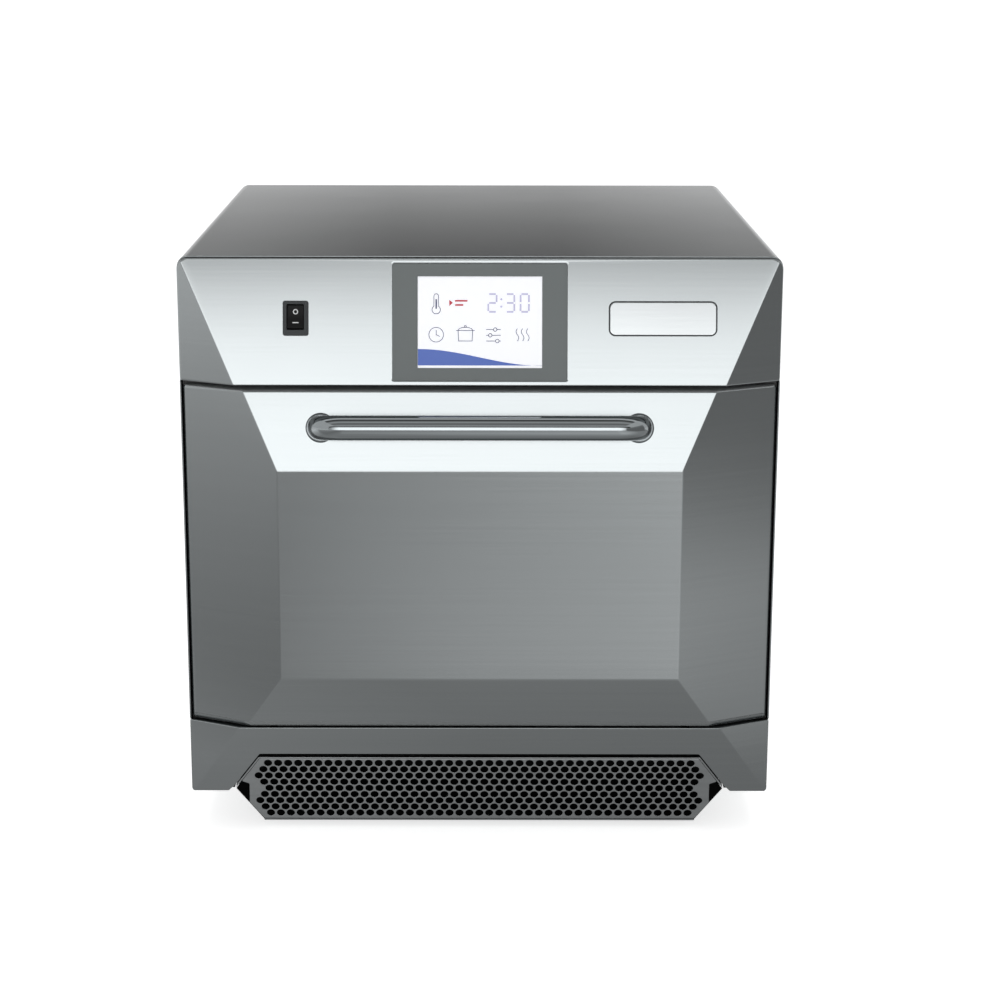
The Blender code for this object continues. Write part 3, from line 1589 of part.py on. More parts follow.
def hang(name, place, pieces):
    """Parent a moving group to an empty on its joint, without moving the pieces."""
    pivot = bpy.data.objects.new(name, None)
    bpy.context.scene.collection.objects.link(pivot)
    pivot.location = place
    inverse = Matrix.Translation(place).inverted()
    guides = [modifier.object for piece in pieces for modifier in piece.modifiers
              if modifier.type == "BOOLEAN"]
    for piece in pieces + guides:
        piece.parent = pivot
        piece.matrix_parent_inverse = inverse
    return pivot


def build():
    """Make every piece and hang the moving groups on their joints."""
    for obj in list(bpy.data.objects):
        bpy.data.objects.remove(obj, do_unlink=True)
    make_outer_cover()
    make_front_frame()
    make_rear_panel()
    make_base_tray()
    make_rear_hood()
    make_feet()
    make_control_fascia()
    make_lower_panel()
    make_screen_bezel()
    make_display()
    make_switch_housing()
    make_switch_rocker()
    make_badge_plate()
    make_intake_housing()
    make_oven_cavity()
    make_insulation()
    make_ceramic_floor()
    make_impinger_plate()
    make_convection_fan()
    make_fan_motor()
    make_heating_element()
    make_waveguide()
    make_magnetrons()
    make_stirrer()
    make_transformers()
    make_capacitors()
    make_electronics()
    make_cooling_frame()
    make_cooling_rotor()
    make_cable_gland()
    make_hinge_brackets()
    door = [make_door_skin(), make_door_inner_panel()]
    door += make_door_filling() + make_handle() + make_hinge_arms() + make_interlocks()
    hang("door_axis", (0.0, behind(-hinge_reach), hinge_height), door)
    filter_pieces = make_filter()
    hang("filter_axis", (0.0, front_plane, (filter_low + filter_high) / 2), filter_pieces)
    hang("cook_plate_axis", (0.0, behind(shell_front), cavity_floor), [make_cook_plate()])


build()
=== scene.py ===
import json
import math

import bmesh
import bpy
import numpy as np
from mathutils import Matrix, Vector
from mathutils.geometry import delaunay_2d_cdt


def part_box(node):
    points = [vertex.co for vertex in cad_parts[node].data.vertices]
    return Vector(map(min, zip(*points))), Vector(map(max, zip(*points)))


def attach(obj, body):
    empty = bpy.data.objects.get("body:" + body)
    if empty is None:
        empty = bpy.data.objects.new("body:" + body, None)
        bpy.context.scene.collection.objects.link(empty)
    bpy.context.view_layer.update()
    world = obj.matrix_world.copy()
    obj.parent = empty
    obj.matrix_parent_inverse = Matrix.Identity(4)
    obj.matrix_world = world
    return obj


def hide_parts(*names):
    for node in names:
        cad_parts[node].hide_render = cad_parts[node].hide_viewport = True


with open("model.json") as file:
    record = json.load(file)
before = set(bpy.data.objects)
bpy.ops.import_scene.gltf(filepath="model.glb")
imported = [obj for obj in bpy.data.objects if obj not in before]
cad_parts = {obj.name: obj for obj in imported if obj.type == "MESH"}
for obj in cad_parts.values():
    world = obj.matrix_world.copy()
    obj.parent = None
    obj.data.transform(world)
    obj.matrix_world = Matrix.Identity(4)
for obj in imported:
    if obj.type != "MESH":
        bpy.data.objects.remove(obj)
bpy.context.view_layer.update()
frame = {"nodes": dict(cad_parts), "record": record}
scene = bpy.context.scene
print("frame loaded, nodes:", len(frame["nodes"]))

# Main lines of the cabinet, taken from the CAD boxes. All sizes are metres.
coverLow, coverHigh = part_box("outer_cover")
shape = {
    "plane": coverLow.y - 0.004,  # the front's reference plane, just before the cover's front edge
    "rear": coverHigh.y,
    "top": coverHigh.z,
    "base": coverLow.z,
    "half": coverHigh.x,
    "reach": 0.043,  # how far the middle panel stands forward
    "topRun": 0.2012,  # height of the upper facet
    "bottomRun": 0.133,  # height of the lower facet
    "sideRun": 0.088,  # width of each side facet
    "crease": 0.0005,  # depth over which a bent crease is soft
}
topTilt = math.atan(shape["reach"] / shape["topRun"])
replacedNodes = set()  # CAD nodes that a dressed piece stands for


# mesh helpers

def softMin(a, b, blend):
    # smaller of two values, with a parabola where they differ by less than blend
    share = np.clip(0.5 + (b - a) / (2 * blend), 0, 1)
    return b + (a - b) * share - blend * share * (1 - share)


def frontReach(x, z, sideStart):
    # forward reach of the pressed front: the least of four sloping planes and the middle one
    reach, blend = shape["reach"], shape["crease"]
    upper = (shape["top"] - z) * reach / shape["topRun"]
    lower = (z - shape["base"]) * reach / shape["bottomRun"]
    side = (sideStart - np.abs(x)) * reach / shape["sideRun"]
    middle = softMin(softMin(upper, lower, blend), reach + 0 * x, blend)
    return softMin(middle, side, blend)


def creaseLines(sideStart):
    # five lines along every crease, where two planes differ by -1, -1/2, 0, 1/2 and 1 blend
    reach, blend = shape["reach"], shape["crease"]
    highCrease = shape["top"] - shape["topRun"]
    lowCrease = shape["base"] + shape["bottomRun"]
    lines = []
    for share in (-1.0, -0.5, 0.0, 0.5, 1.0):
        step = share * blend
        xIn = sideStart - (reach + step) * shape["sideRun"] / reach
        zHigh = shape["top"] - (reach + step) * shape["topRun"] / reach
        zLow = shape["base"] + (reach + step) * shape["bottomRun"] / reach
        xEnd = sideStart - (reach - blend) * shape["sideRun"] / reach
        lines.append(((-xEnd, zHigh), (xEnd, zHigh)))
        lines.append(((-xEnd, zLow), (xEnd, zLow)))
        shift = step * shape["sideRun"] / reach
        for sign in (-1, 1):
            lines.append(((sign * xIn, lowCrease), (sign * xIn, highCrease)))
            corner = sideStart - shape["sideRun"]
            lines.append(((sign * (sideStart - shift), shape["top"]),
                          (sign * (corner - shift), highCrease)))
            lines.append(((sign * (sideStart - shift), shape["base"]),
                          (sign * (corner - shift), lowCrease)))
    return lines


def roundedLoop(corners, steps):
    # walks (x, z, radius) corners; returns the points and the unit normals on the right of the walk
    points, normals = [], []
    places = np.array([c[:2] for c in corners], float)
    for i in range(len(corners)):
        here, radius = places[i], corners[i][2]
        first = here - places[i - 1]
        last = places[(i + 1) % len(corners)] - here
        first, last = first / np.hypot(*first), last / np.hypot(*last)
        turn = math.atan2(first[0] * last[1] - first[1] * last[0], float(first @ last))
        way = math.copysign(1.0, turn)
        centre = here - first * radius * math.tan(abs(turn) / 2)
        centre = centre + np.array((-first[1], first[0])) * radius * way
        start = math.atan2(-first[0], first[1])
        angles = start + turn * np.linspace(0, 1, steps + 1)
        normal = np.stack([np.cos(angles), np.sin(angles)], 1)
        points.append(centre + normal * radius * way)
        normals.append(normal)
    return np.concatenate(points), np.concatenate(normals)


def insideLoop(points, loop):
    # even-odd test of many points against one closed outline
    x, z = points[:, 0][:, None], points[:, 1][:, None]
    ax, az = loop[:, 0][None], loop[:, 1][None]
    bx, bz = np.roll(ax, -1, 1), np.roll(az, -1, 1)
    crosses = (az > z) != (bz > z)
    with np.errstate(divide="ignore", invalid="ignore"):
        at = ax + (z - az) * (bx - ax) / (bz - az)
    return (crosses & (x < at)).sum(1) % 2 == 1


def fillOutline(loops, lines=()):
    # triangles between the first loop and the others, with the lines as extra edges, worked in millimetres
    flat = [np.asarray(loop, float) * 1000 for loop in loops]
    flat += [np.array(line, float) * 1000 for line in lines]
    edges, start = [], 0
    for number, part in enumerate(flat):
        count = len(part)
        ring = [(start + i, start + (i + 1) % count) for i in range(count)]
        edges += ring if number < len(loops) else ring[:1]
        start += count
    points = [Vector(p) for p in np.concatenate(flat)]
    found = delaunay_2d_cdt(points, edges, [], 0, 1e-4)
    places = np.array([tuple(p) for p in found[0]])
    faces = np.array([f[:] for f in found[2]])
    middle = places[faces].mean(1)
    keep = insideLoop(middle, flat[0])
    for hole in flat[1:len(loops)]:
        keep &= ~insideLoop(middle, hole)
    return places / 1000, faces[keep], found[3]


def rimWidth(normal, widths):
    # one width, or (side, upward, downward) widths, turned into one vector per rim point
    side, up, down = np.broadcast_to(widths, 3)
    return np.stack([np.full(len(normal), side), np.where(normal[:, 1] > 0, up, down)], 1)


def sideMix(normal, values):
    # one value per rim point, blended by the square of its normal's z
    side, up, down = np.broadcast_to(values, 3)
    level = normal[:, 1] ** 2
    return side * (1 - level) + np.where(normal[:, 1] > 0, up, down) * level


def frontSpace(x, z, reach):
    # a point of the front, reach metres before the reference plane
    return np.stack([x, shape["plane"] - reach, z], 1)


# What every rim of a pressed sheet has unless its own loop says otherwise. Each roll, rollDepth
# and dish is one value, or three: for rims that face sideways, up and down.
sheetHabits = {
    "steps": 8,  # points round each corner, less one
    "rings": 6,  # rings over the rolled edge
    "dish": 0,  # width of a dip beside the edge
    "dishSteps": (0.25, 0.5, 0.75, 1.0),
    "edgeSink": 1.1,  # how much lower than the dip the edge itself lies
    "fold": 0.0006,  # radius of the turned-in back edge
    "foldRoom": 1.2,  # folds left between the rolled edge and the back
    "foldSteps": (0.35, 0.7, 1.0)}


def borderWalks(faces):
    # closed walks along the edges that one triangle alone uses, in that triangle's direction
    pairs = {(int(f[i]), int(f[(i + 1) % 3])) for f in faces for i in range(3)}
    directed = {a: b for a, b in pairs if (b, a) not in pairs}
    walks, seen = [], set()
    for first in directed:
        if first in seen:
            continue
        walk, at = [], first
        while at not in seen:
            seen.add(at)
            walk.append(at)
            at = directed[at]
        walks.append(walk)
    return walks


def rimRings(loop, inner, outer, normal, reachAt):
    # Rings of (flat points, reach) from the face's border outwards and back. A rim point leaves
    # the face along a quadratic curve p0, c, p2: c lies where the face would meet the wall, and
    # p2 one roll further back. Then come the wall, the fold and the hem.
    d0, d1 = reachAt(inner[:, 0], inner[:, 1]), reachAt(outer[:, 0], outer[:, 1])
    rings = []
    if np.any(loop["dish"]):  # a parabola, whose slope at its end is the loop's dip
        lip = outer - normal * rimWidth(normal, loop["roll"])
        sink = loop["dip"] / 2 * np.hypot(*(normal * rimWidth(normal, loop["dish"])).T)
        dLip = reachAt(lip[:, 0], lip[:, 1]) - sink
        for t in loop["dishSteps"]:
            rings.append((inner + (lip - inner) * t, d0 + (dLip - d0) * t * t))
        inner, d0, d1 = lip, dLip, d1 - loop["edgeSink"] * sink
    fold = loop["fold"]
    end = -loop["back"] + 0 * d1 if "back" in loop else d1 - loop["drop"]
    d2 = np.maximum(d1 - sideMix(normal, loop["rollDepth"]), end + loop["foldRoom"] * fold)
    for t in np.linspace(0, 1, loop["rings"])[1:]:
        rings.append((inner * (1 - t) ** 2 + outer * (1 - (1 - t) ** 2),
                      d0 * (1 - t) ** 2 + d1 * 2 * t * (1 - t) + d2 * t * t))
    rings.append((outer, end + fold))
    for t in loop["foldSteps"]:
        rings.append((outer - normal * fold * t * t, end + fold * (1 - t) ** 2))
    if "hem" in loop:
        low, high = loop["hem"]
        rings.append((np.clip(outer, low, high), end))
    return rings


def pressedSheet(loops, lines, reachAt, toSpace=frontSpace):
    # A sheet over a flat outline with holes, pushed forward by reachAt, whose rims roll back.
    loops = [{**sheetHabits, **loop} for loop in loops]
    rims = []
    for loop in loops:
        outer, normal = loop["outline"] if "outline" in loop else roundedLoop(
            loop["corners"], loop["steps"])
        inset = rimWidth(normal, loop["roll"]) + rimWidth(normal, loop["dish"])
        rims.append((outer, normal, outer - normal * inset))
    places, faces, sources = fillOutline([rim[2] for rim in rims], lines)
    starts = np.cumsum([0] + [len(rim[0]) for rim in rims])
    rimOf = {}
    for vertex, found in enumerate(sources):
        for source in found:
            if source < starts[-1]:
                number = int(np.searchsorted(starts, source, "right") - 1)
                outer, normal, _ = rims[number]
                index = source - starts[number]
                rimOf[vertex] = (number, outer[index], normal[index])
    points = [toSpace(places[:, 0], places[:, 1], reachAt(places[:, 0], places[:, 1]))]
    quads = []
    total = len(places)
    for walk in borderWalks(faces):
        known = [i for i, v in enumerate(walk) if v in rimOf]
        loop = loops[rimOf[walk[known[0]]][0]]
        inner = places[walk]
        # a crease that meets the rim adds points between two known ones
        steps = np.hypot(*(np.roll(inner, -1, 0) - inner).T)
        along = np.cumsum(steps) - steps
        rim = np.array([np.concatenate(rimOf[walk[i]][1:]) for i in known])
        rim = np.stack([np.interp(along, along[known], column, period=steps.sum())
                        for column in rim.T], 1)
        last = np.array(walk)
        count = len(walk)
        following = np.roll(np.arange(count), -1)
        for flat, reach in rimRings(loop, inner, rim[:, :2], rim[:, 2:], reachAt):
            points.append(toSpace(flat[:, 0], flat[:, 1], reach))
            ring = total + np.arange(count)
            quads.append(np.stack([last[following], last, ring, ring[following]], 1))
            last = ring
            total += count
    return np.concatenate(points), [tuple(f) for f in faces.tolist()] + [
        tuple(q) for group in quads for q in group.tolist()]


def gridFaces(rows, columns, closeRows=False, closeColumns=False):
    # quads over a grid of points that was flattened row by row
    i = np.arange(rows if closeRows else rows - 1)[:, None]
    j = np.arange(columns if closeColumns else columns - 1)[None]
    i2, j2 = (i + 1) % rows, (j + 1) % columns
    quads = np.stack(np.broadcast_arrays(i * columns + j, i2 * columns + j,
                                         i2 * columns + j2, i * columns + j2), -1)
    return quads.reshape(-1, 4).tolist()


def tubeFaces(rows, columns, start=0):
    # quads of a closed tube of rings, with one face over each end
    last = start + (rows - 1) * columns
    quads = np.array(gridFaces(rows, columns, False, True)) + start
    return quads.tolist() + [list(range(start, start + columns)),
                             list(range(last, last + columns))[::-1]]


meshing = {"merge": 2e-6, "sliver": 1e-7, "sharp": 32.0,
           "folded": 0.6}  # a face whose normal points up or down by more than this is folded over
modifierNames = {"SOLIDIFY": "sheet thickness", "BEVEL": "edge round"}


def dressed(mesh, body, slot, modifier=None, **settings):
    # links a mesh, gives it an optional modifier and flat-face shading, and rides it on its body
    obj = bpy.data.objects.new(mesh.name, mesh)
    scene.collection.objects.link(obj)
    if modifier:
        shaped = obj.modifiers.new(modifierNames[modifier], modifier)
        for key, value in settings.items():
            setattr(shaped, key, value)
    obj.modifiers.new("flat faces stay flat", "WEIGHTED_NORMAL").keep_sharp = True
    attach(obj, body)
    return obj


def makePiece(name, points, faces, finish, body, slot=None, replaces=(), wall=0.0, closed=True,
              angle=meshing["sharp"], uv=None, edge=None):
    # one new piece from points and faces, with a wall's thickness where the sheet has one
    mesh = bpy.data.meshes.new(name)
    mesh.from_pydata(np.asarray(points, float).tolist(), [], faces)
    if uv is not None:
        layer = mesh.uv_layers.new(name="UVMap")
        corners = np.zeros(len(mesh.loops), np.int32)
        mesh.loops.foreach_get("vertex_index", corners)
        layer.data.foreach_set("uv", np.asarray(uv, np.float32)[corners].ravel())
    builder = bmesh.new()
    builder.from_mesh(mesh)
    bmesh.ops.remove_doubles(builder, verts=builder.verts, dist=meshing["merge"])
    bmesh.ops.dissolve_degenerate(builder, edges=builder.edges, dist=meshing["sliver"])
    if closed:
        bmesh.ops.recalc_face_normals(builder, faces=builder.faces)
    builder.to_mesh(mesh)
    builder.free()
    mesh.shade_smooth()
    mesh.set_sharp_from_angle(angle=math.radians(angle))
    mesh.materials.append(finish)
    # the paler edge finish on these faces is painted light in the gaps above and below the door
    if edge:  # folded faces that look up or down get their own finish
        mesh.materials.append(edge)
        across = np.zeros(len(mesh.polygons) * 3, np.float32)
        mesh.polygons.foreach_get("normal", across)
        folded = np.abs(across[2::3]) > meshing["folded"]
        mesh.polygons.foreach_set("material_index", folded.astype(np.int32))
    obj = dressed(mesh, body, slot, "SOLIDIFY" if wall else None, thickness=wall, offset=-1.0,
                  use_even_offset=True)
    if replaces:
        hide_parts(*replaces)
        replacedNodes.update(replaces)


def onFacet(u, v, lift, centreX, centreZ):
    # a point of the upper facet: u to the right, v up the slope, lift along its normal
    y = shape["plane"] - (shape["top"] - centreZ) * shape["reach"] / shape["topRun"]
    u, v, lift = np.broadcast_arrays(np.asarray(u, float), v, lift)
    return np.stack([centreX + u, y + v * math.sin(topTilt) - lift * math.cos(topTilt),
                     centreZ + v * math.cos(topTilt) + lift * math.sin(topTilt)], -1)


# materials

def linear(hexColour):
    # sRGB hex to linear light
    channels = [int(hexColour[i:i + 2], 16) / 255 for i in (0, 2, 4)]
    return tuple(c / 12.92 if c <= 0.04045 else ((c + 0.055) / 1.055) ** 2.4 for c in channels) + (1.0,)


def feed(tree, node, inputs):
    # links each input to a socket or sets it to a value
    for key, value in inputs.items():
        if isinstance(value, bpy.types.NodeSocket):
            tree.links.new(value, node.inputs[key])
        else:
            node.inputs[key].default_value = value


def addNode(tree, kind, inputs, output=0, **settings):
    # makes a shader node and returns one of its outputs
    node = tree.nodes.new("ShaderNode" + kind)
    for key, value in settings.items():
        setattr(node, key, value)
    feed(tree, node, inputs)
    return node.outputs[output]


def noise(tree, place, scale, detail=2.0, roughness=0.5):
    # soft noise with scale cells per metre
    return addNode(tree, "TexNoise", {"Vector": place, "Scale": scale, "Detail": detail,
                                      "Roughness": roughness})


def spread(tree, value, low, high, start=0.0, end=1.0):
    # maps a value that runs from start to end on to low to high
    return addNode(tree, "MapRange", {"Value": value, "From Min": start, "From Max": end,
                                      "To Min": low, "To Max": high})


def joined(tree, first, second, operation="ADD"):
    # the sum of two values, or their maximum
    return addNode(tree, "Math", {0: first, 1: second}, operation=operation)


def newMaterial(name):
    # a material with its node tree and its main shader
    material = bpy.data.materials.new(name)
    material.use_nodes = True
    tree = material.node_tree
    return material, tree, tree.nodes["Principled BSDF"]


def finishSurface(tree, shader, s, tint, gloss, glossRange, height, depth):
    # colour goes from dark to light with the tint, roughness over its range with the gloss,
    # and the height bumps the surface
    colour = addNode(tree, "Mix", {"Factor": tint, "A": linear(s["dark"]), "B": linear(s["light"])},
                     "Result", data_type="RGBA")
    rough = spread(tree, gloss, *s["rough"], *glossRange)
    bump = addNode(tree, "Bump", {"Height": height, "Strength": s["bump"], "Distance": depth})
    feed(tree, shader, {"Base Color": colour, "Roughness": rough, "Normal": bump})


metalHabits = {
    "cloud": 9.0,  # slow changes of gloss, in waves per metre
    "bump": 0.1,
    "bumpHeight": 0.0001,
    "byUv": False}  # grain that follows the sheet instead of the room


def grainedMetal(name, settings):
    # Brushed or rolled metal. Long thin noise shifts the colour, roughness and height a little.
    # Grain and streak are the sizes of one noise cell along x, y and z, or along u and v.
    s = {**metalHabits, **settings}
    material, tree, shader = newMaterial(name)
    source = addNode(tree, "TexCoord", {}, "UV" if s["byUv"] else "Object")
    fine = addNode(tree, "Mapping", {"Vector": source, "Scale": [1 / g for g in s["grain"]]})
    broad = addNode(tree, "Mapping", {"Vector": source, "Scale": [1 / g for g in s["streak"]]})
    lines = noise(tree, fine, 1.0, 3.0, 0.6)
    bands = noise(tree, broad, 1.0)
    cloud = noise(tree, source, s["cloud"])
    both = joined(tree, lines, bands)
    mixed = joined(tree, both, cloud)
    # two noises together run from about 0.6 to 1.4, and three from about 0.9 to 2.1
    tint = spread(tree, both, 0.0, 1.0, 0.6, 1.4)
    finishSurface(tree, shader, s, tint, mixed, (0.9, 2.1), lines, s["bumpHeight"])
    shader.inputs["Metallic"].default_value = 1.0
    return material


plasticHabits = {
    "cloud": 14.0,  # slow changes of gloss, in waves per metre
    "bump": 0.15,
    "bumpShare": 0.3,  # height of the skin, as a share of its cell
    "ior": 1.5,
    "specular": 0.5}


def mouldedPlastic(name, settings):
    # Coat, rubber, plastic or paint: one colour with a fine skin and slow changes of gloss.
    s = {**plasticHabits, **settings}
    material, tree, shader = newMaterial(name)
    place = addNode(tree, "TexCoord", {}, "Object")
    skin = noise(tree, place, 1 / s["skin"], 3.0)
    cloud = noise(tree, place, s["cloud"])
    finishSurface(tree, shader, s, skin, cloud, (0.3, 0.7), skin, s["skin"] * s["bumpShare"])
    feed(tree, shader, {"IOR": s["ior"], "Specular IOR Level": s["specular"]})
    return material


# Stainless 304 sheet, belt brushed along the width: level lines, a soft satin sheen.
steelFront = grainedMetal("brushed stainless front", {
    "dark": "8c9091", "light": "909495", "rough": (0.155, 0.18), "grain": (0.06, 0.06, 0.0004),
    "streak": (0.5, 0.5, 0.0022), "bump": 0.02})
# Its folded edges that face up or down: duller, as the brush doesn't reach them, and paler in colour as
# painted light that brightens the dark gaps above and below the door.
steelEdgeLightened = grainedMetal("folded stainless edge with painted light", {
    "dark": "9a9d9e", "light": "a4a7a8", "rough": (0.62, 0.7), "grain": (0.02, 0.001, 0.001),
    "streak": (0.2, 0.01, 0.01), "bump": 0.03})
# The same sheet wrapped round the cabinet, brushed along its length.
steelWrap = grainedMetal("brushed stainless wrap", {
    "dark": "8c9091", "light": "909495", "rough": (0.19, 0.22), "grain": (0.06, 0.0004, 1.0),
    "streak": (0.5, 0.0022, 1.0), "bump": 0.02, "byUv": True})
# Stainless tube, mirror polished: sharp bands of the room along it.
steelPolished = grainedMetal("polished stainless tube", {
    "dark": "878c8e", "light": "8f9496", "rough": (0.06, 0.10), "grain": (0.03, 0.0006, 0.0006),
    "streak": (0.2, 0.004, 0.004), "bump": 0.02})
# Zinc-plated chassis steel: greyer and duller, with a faint rolling grain.
steelPlated = grainedMetal("zinc plated steel", {
    "dark": "91969a", "light": "9a9fa1", "rough": (0.38, 0.46), "grain": (0.02, 0.002, 0.002),
    "streak": (0.3, 0.02, 0.02), "bump": 0.03, "cloud": 4.0})
# Cavity steel, bright annealed and wiped: soft reflections.
steelCavity = grainedMetal("cavity stainless", {
    "dark": "a0a3a3", "light": "a8abab", "rough": (0.24, 0.34), "grain": (0.05, 0.05, 0.0005),
    "streak": (0.4, 0.4, 0.003), "bump": 0.03})
# Perforated stainless sheet, unbrushed 2B mill finish: even dull grey.
steelMill = grainedMetal("perforated stainless", {
    "dark": "929596", "light": "9c9fa0", "rough": (0.32, 0.42), "grain": (0.01, 0.01, 0.001),
    "streak": (0.1, 0.1, 0.006), "bump": 0.04})
# Badge plate, nickel-plated die casting: pale and silky.
nickelPlate = grainedMetal("satin nickel plate", {
    "dark": "9a9d9e", "light": "a2a5a6", "rough": (0.16, 0.22), "grain": (0.02, 0.02, 0.0005),
    "streak": (0.1, 0.1, 0.004), "bump": 0.03})
# Die-cast aluminium: pale and grainy, with no direction.
castAluminium = grainedMetal("die cast aluminium", {
    "dark": "8f9496", "light": "a8acae", "rough": (0.4, 0.55), "grain": (0.003, 0.003, 0.003),
    "streak": (0.02, 0.02, 0.02), "bump": 0.2})
# Stamped fan blades, dulled by heat: mid grey with short rolling lines.
fanSteel = grainedMetal("stamped fan steel", {
    "dark": "7f8486", "light": "969b9d", "rough": (0.3, 0.45), "grain": (0.01, 0.004, 0.004),
    "streak": (0.05, 0.01, 0.01), "bump": 0.05})
# Heating element sheath, tinted by heat: brown and dry.
elementSheath = grainedMetal("heat tinted element sheath", {
    "dark": "4a3f38", "light": "6a5a4e", "rough": (0.4, 0.6), "grain": (0.004, 0.004, 0.004),
    "streak": (0.02, 0.02, 0.02), "bump": 0.15})
# Varnished iron laminations: red-brown, with a line for every few sheets.
ironCore = grainedMetal("varnished iron laminations", {
    "dark": "4f3728", "light": "76523a", "rough": (0.45, 0.6), "grain": (0.0008, 0.05, 0.05),
    "streak": (0.004, 0.1, 0.1), "bump": 0.3})

# Powder-coated chassis steel: deep black with a fine orange peel.
blackCoat = mouldedPlastic("black powder coat", {
    "dark": "0b0c0d", "light": "161819", "rough": (0.42, 0.55), "skin": 0.0006})
# Glass-filled nylon, moulded: black with a silky top.
blackNylon = mouldedPlastic("moulded black nylon", {
    "dark": "0c0d0d", "light": "151616", "rough": (0.38, 0.5), "skin": 0.0004, "specular": 0.12})
# The same nylon, darker and almost without sheen, for the filter's frame: partly its own black, partly
# painted shade where it shows at the filter's tips.
blackMattShaded = mouldedPlastic("matt black nylon with painted shade", {
    "dark": "030303", "light": "080808", "rough": (0.8, 0.95), "skin": 0.0004, "specular": 0.02})
# Graphite nylon of the switch frame and the badge rim: a shade lighter than the rocker.
graphiteNylon = mouldedPlastic("moulded graphite nylon", {
    "dark": "393c3d", "light": "3e4142", "rough": (0.4, 0.5), "skin": 0.0004, "specular": 0.12})
# Screen surround, painted polycarbonate: mid grey and even.
greySurround = mouldedPlastic("grey painted surround", {
    "dark": "686d6d", "light": "6d7272", "rough": (0.3, 0.38), "skin": 0.0005, "specular": 0.15})
# Silicone rubber: matt, with a dry bloom.
siliconeRubber = mouldedPlastic("dark silicone rubber", {
    "dark": "1d1f21", "light": "2c2e30", "rough": (0.65, 0.8), "skin": 0.0005, "ior": 1.43})
# Open-cell filter foam: black, all pores, and darker still with no sheen, as painted shade in the filter's
# holes.
filterFoamShaded = mouldedPlastic("open cell filter foam with painted shade", {
    "dark": "020202", "light": "080808", "rough": (0.9, 1.0), "skin": 0.0015, "bump": 0.8,
    "specular": 0.0})
# Glazed ceramic floor: ivory, with a wavy gloss.
ceramicGlaze = mouldedPlastic("glazed ceramic", {
    "dark": "d8d4c9", "light": "e6e2d8", "rough": (0.25, 0.35), "skin": 0.002, "bump": 0.05})
# Non-stick coat, sprayed and baked: charcoal with a slight sheen.
nonStick = mouldedPlastic("dark non-stick coat", {
    "dark": "262728", "light": "343637", "rough": (0.38, 0.5), "skin": 0.0006})
# Mineral wool, pressed in boards: straw coloured and matt.
mineralWool = mouldedPlastic("mineral wool", {
    "dark": "a89f86", "light": "d6d0be", "rough": (0.9, 1.0), "skin": 0.003, "bump": 1.0})
# Epoxy board under green mask: even, half glossy.
boardLaminate = mouldedPlastic("green board laminate", {
    "dark": "1e4a30", "light": "2f6143", "rough": (0.35, 0.5), "skin": 0.0015})
# Pad-printed ink of the switch marks: flat white.
printInk = mouldedPlastic("white pad print", {
    "dark": "d9dcdc", "light": "e6e8e8", "rough": (0.4, 0.5), "skin": 0.0005})
print("materials made")


# front panels

half, top, base = shape["half"], shape["top"], shape["base"]
fascia = {"sideStart": half - 0.002, "low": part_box("control_fascia")[0].z - 0.0015,
          "high": top - 0.0019, "wall": 0.0013, "lowCorner": 0.0028, "highCorner": 0.011,
          "hemSide": 0.005, "hemLow": 0.0015, "hemHigh": 0.006}
screen = {"z": top - 0.0618, "width": 0.168, "height": 0.1130, "corner": 0.0018}
rocker = {"x": -0.1769, "z": top - 0.0584, "width": 0.0247, "height": 0.0337, "cutOut": (0.0215, 0.027),
          "hole": (0.0166, 0.0246), "cap": (0.0157, 0.0225),
          "at": (-0.0003, 0.0012),  # middle of the hole and the cap
          "turn": math.radians(8.0), "pivot": 0.001, "frameLift": 0.0022}


def facetWindow(centreX, centreZ, width, height, radius):
    # clockwise corners of a window in the upper facet, as seen in the x-z plane
    w, h = width / 2, height / 2 * math.cos(topTilt)
    return [(centreX - w, centreZ - h, radius), (centreX - w, centreZ + h, radius),
            (centreX + w, centreZ + h, radius), (centreX + w, centreZ - h, radius)]


def sheetCorners(halfWidth, low, high, lowCorner, highCorner):
    # the four corners of a front sheet, in the walk's order
    return [(-halfWidth, low, lowCorner), (halfWidth, low, lowCorner),
            (halfWidth, high, highCorner), (-halfWidth, high, highCorner)]


def hemBox(halfWidth, low, high, side, lowHem, highHem):
    # what a turned-in hem keeps of a sheet's outline
    return (side - halfWidth, low + lowHem), (halfWidth - side, high - highHem)


def frontSheet(loops, sideStart, lines=()):
    # a sheet with the pyramid's creases, whose side facets begin at sideStart
    return pressedSheet(loops, creaseLines(sideStart) + list(lines),
                        lambda x, z: frontReach(x, z, sideStart))


fasciaLoops = [
    {"corners": sheetCorners(half, fascia["low"], fascia["high"], fascia["lowCorner"],
                             fascia["highCorner"]),
     "roll": (0.0026, 0.0012, 0.0014), "rollDepth": (0.0022, 0.0011, 0.0012), "back": 0.0037,
     "hem": hemBox(half, fascia["low"], top, fascia["hemSide"], fascia["hemLow"], fascia["hemHigh"])},
    {"corners": facetWindow(0, screen["z"], screen["width"], screen["height"], screen["corner"]),
     "roll": 0.0004, "rollDepth": 0.0003, "drop": 0.0020, "fold": 0.0001,
     "dish": (0.0014, 0.0010, 0.0013), "dip": 0.13},
    {"corners": facetWindow(rocker["x"], rocker["z"], *rocker["cutOut"], 0.001),
     "roll": 0.0003, "rollDepth": 0.0003, "drop": 0.0012, "fold": 0.0002}]
makePiece("fascia_sheet", *frontSheet(fasciaLoops, fascia["sideStart"]), steelFront, "cabinet",
          "brushed_outer_steel", ["control_fascia"], wall=fascia["wall"], closed=False)

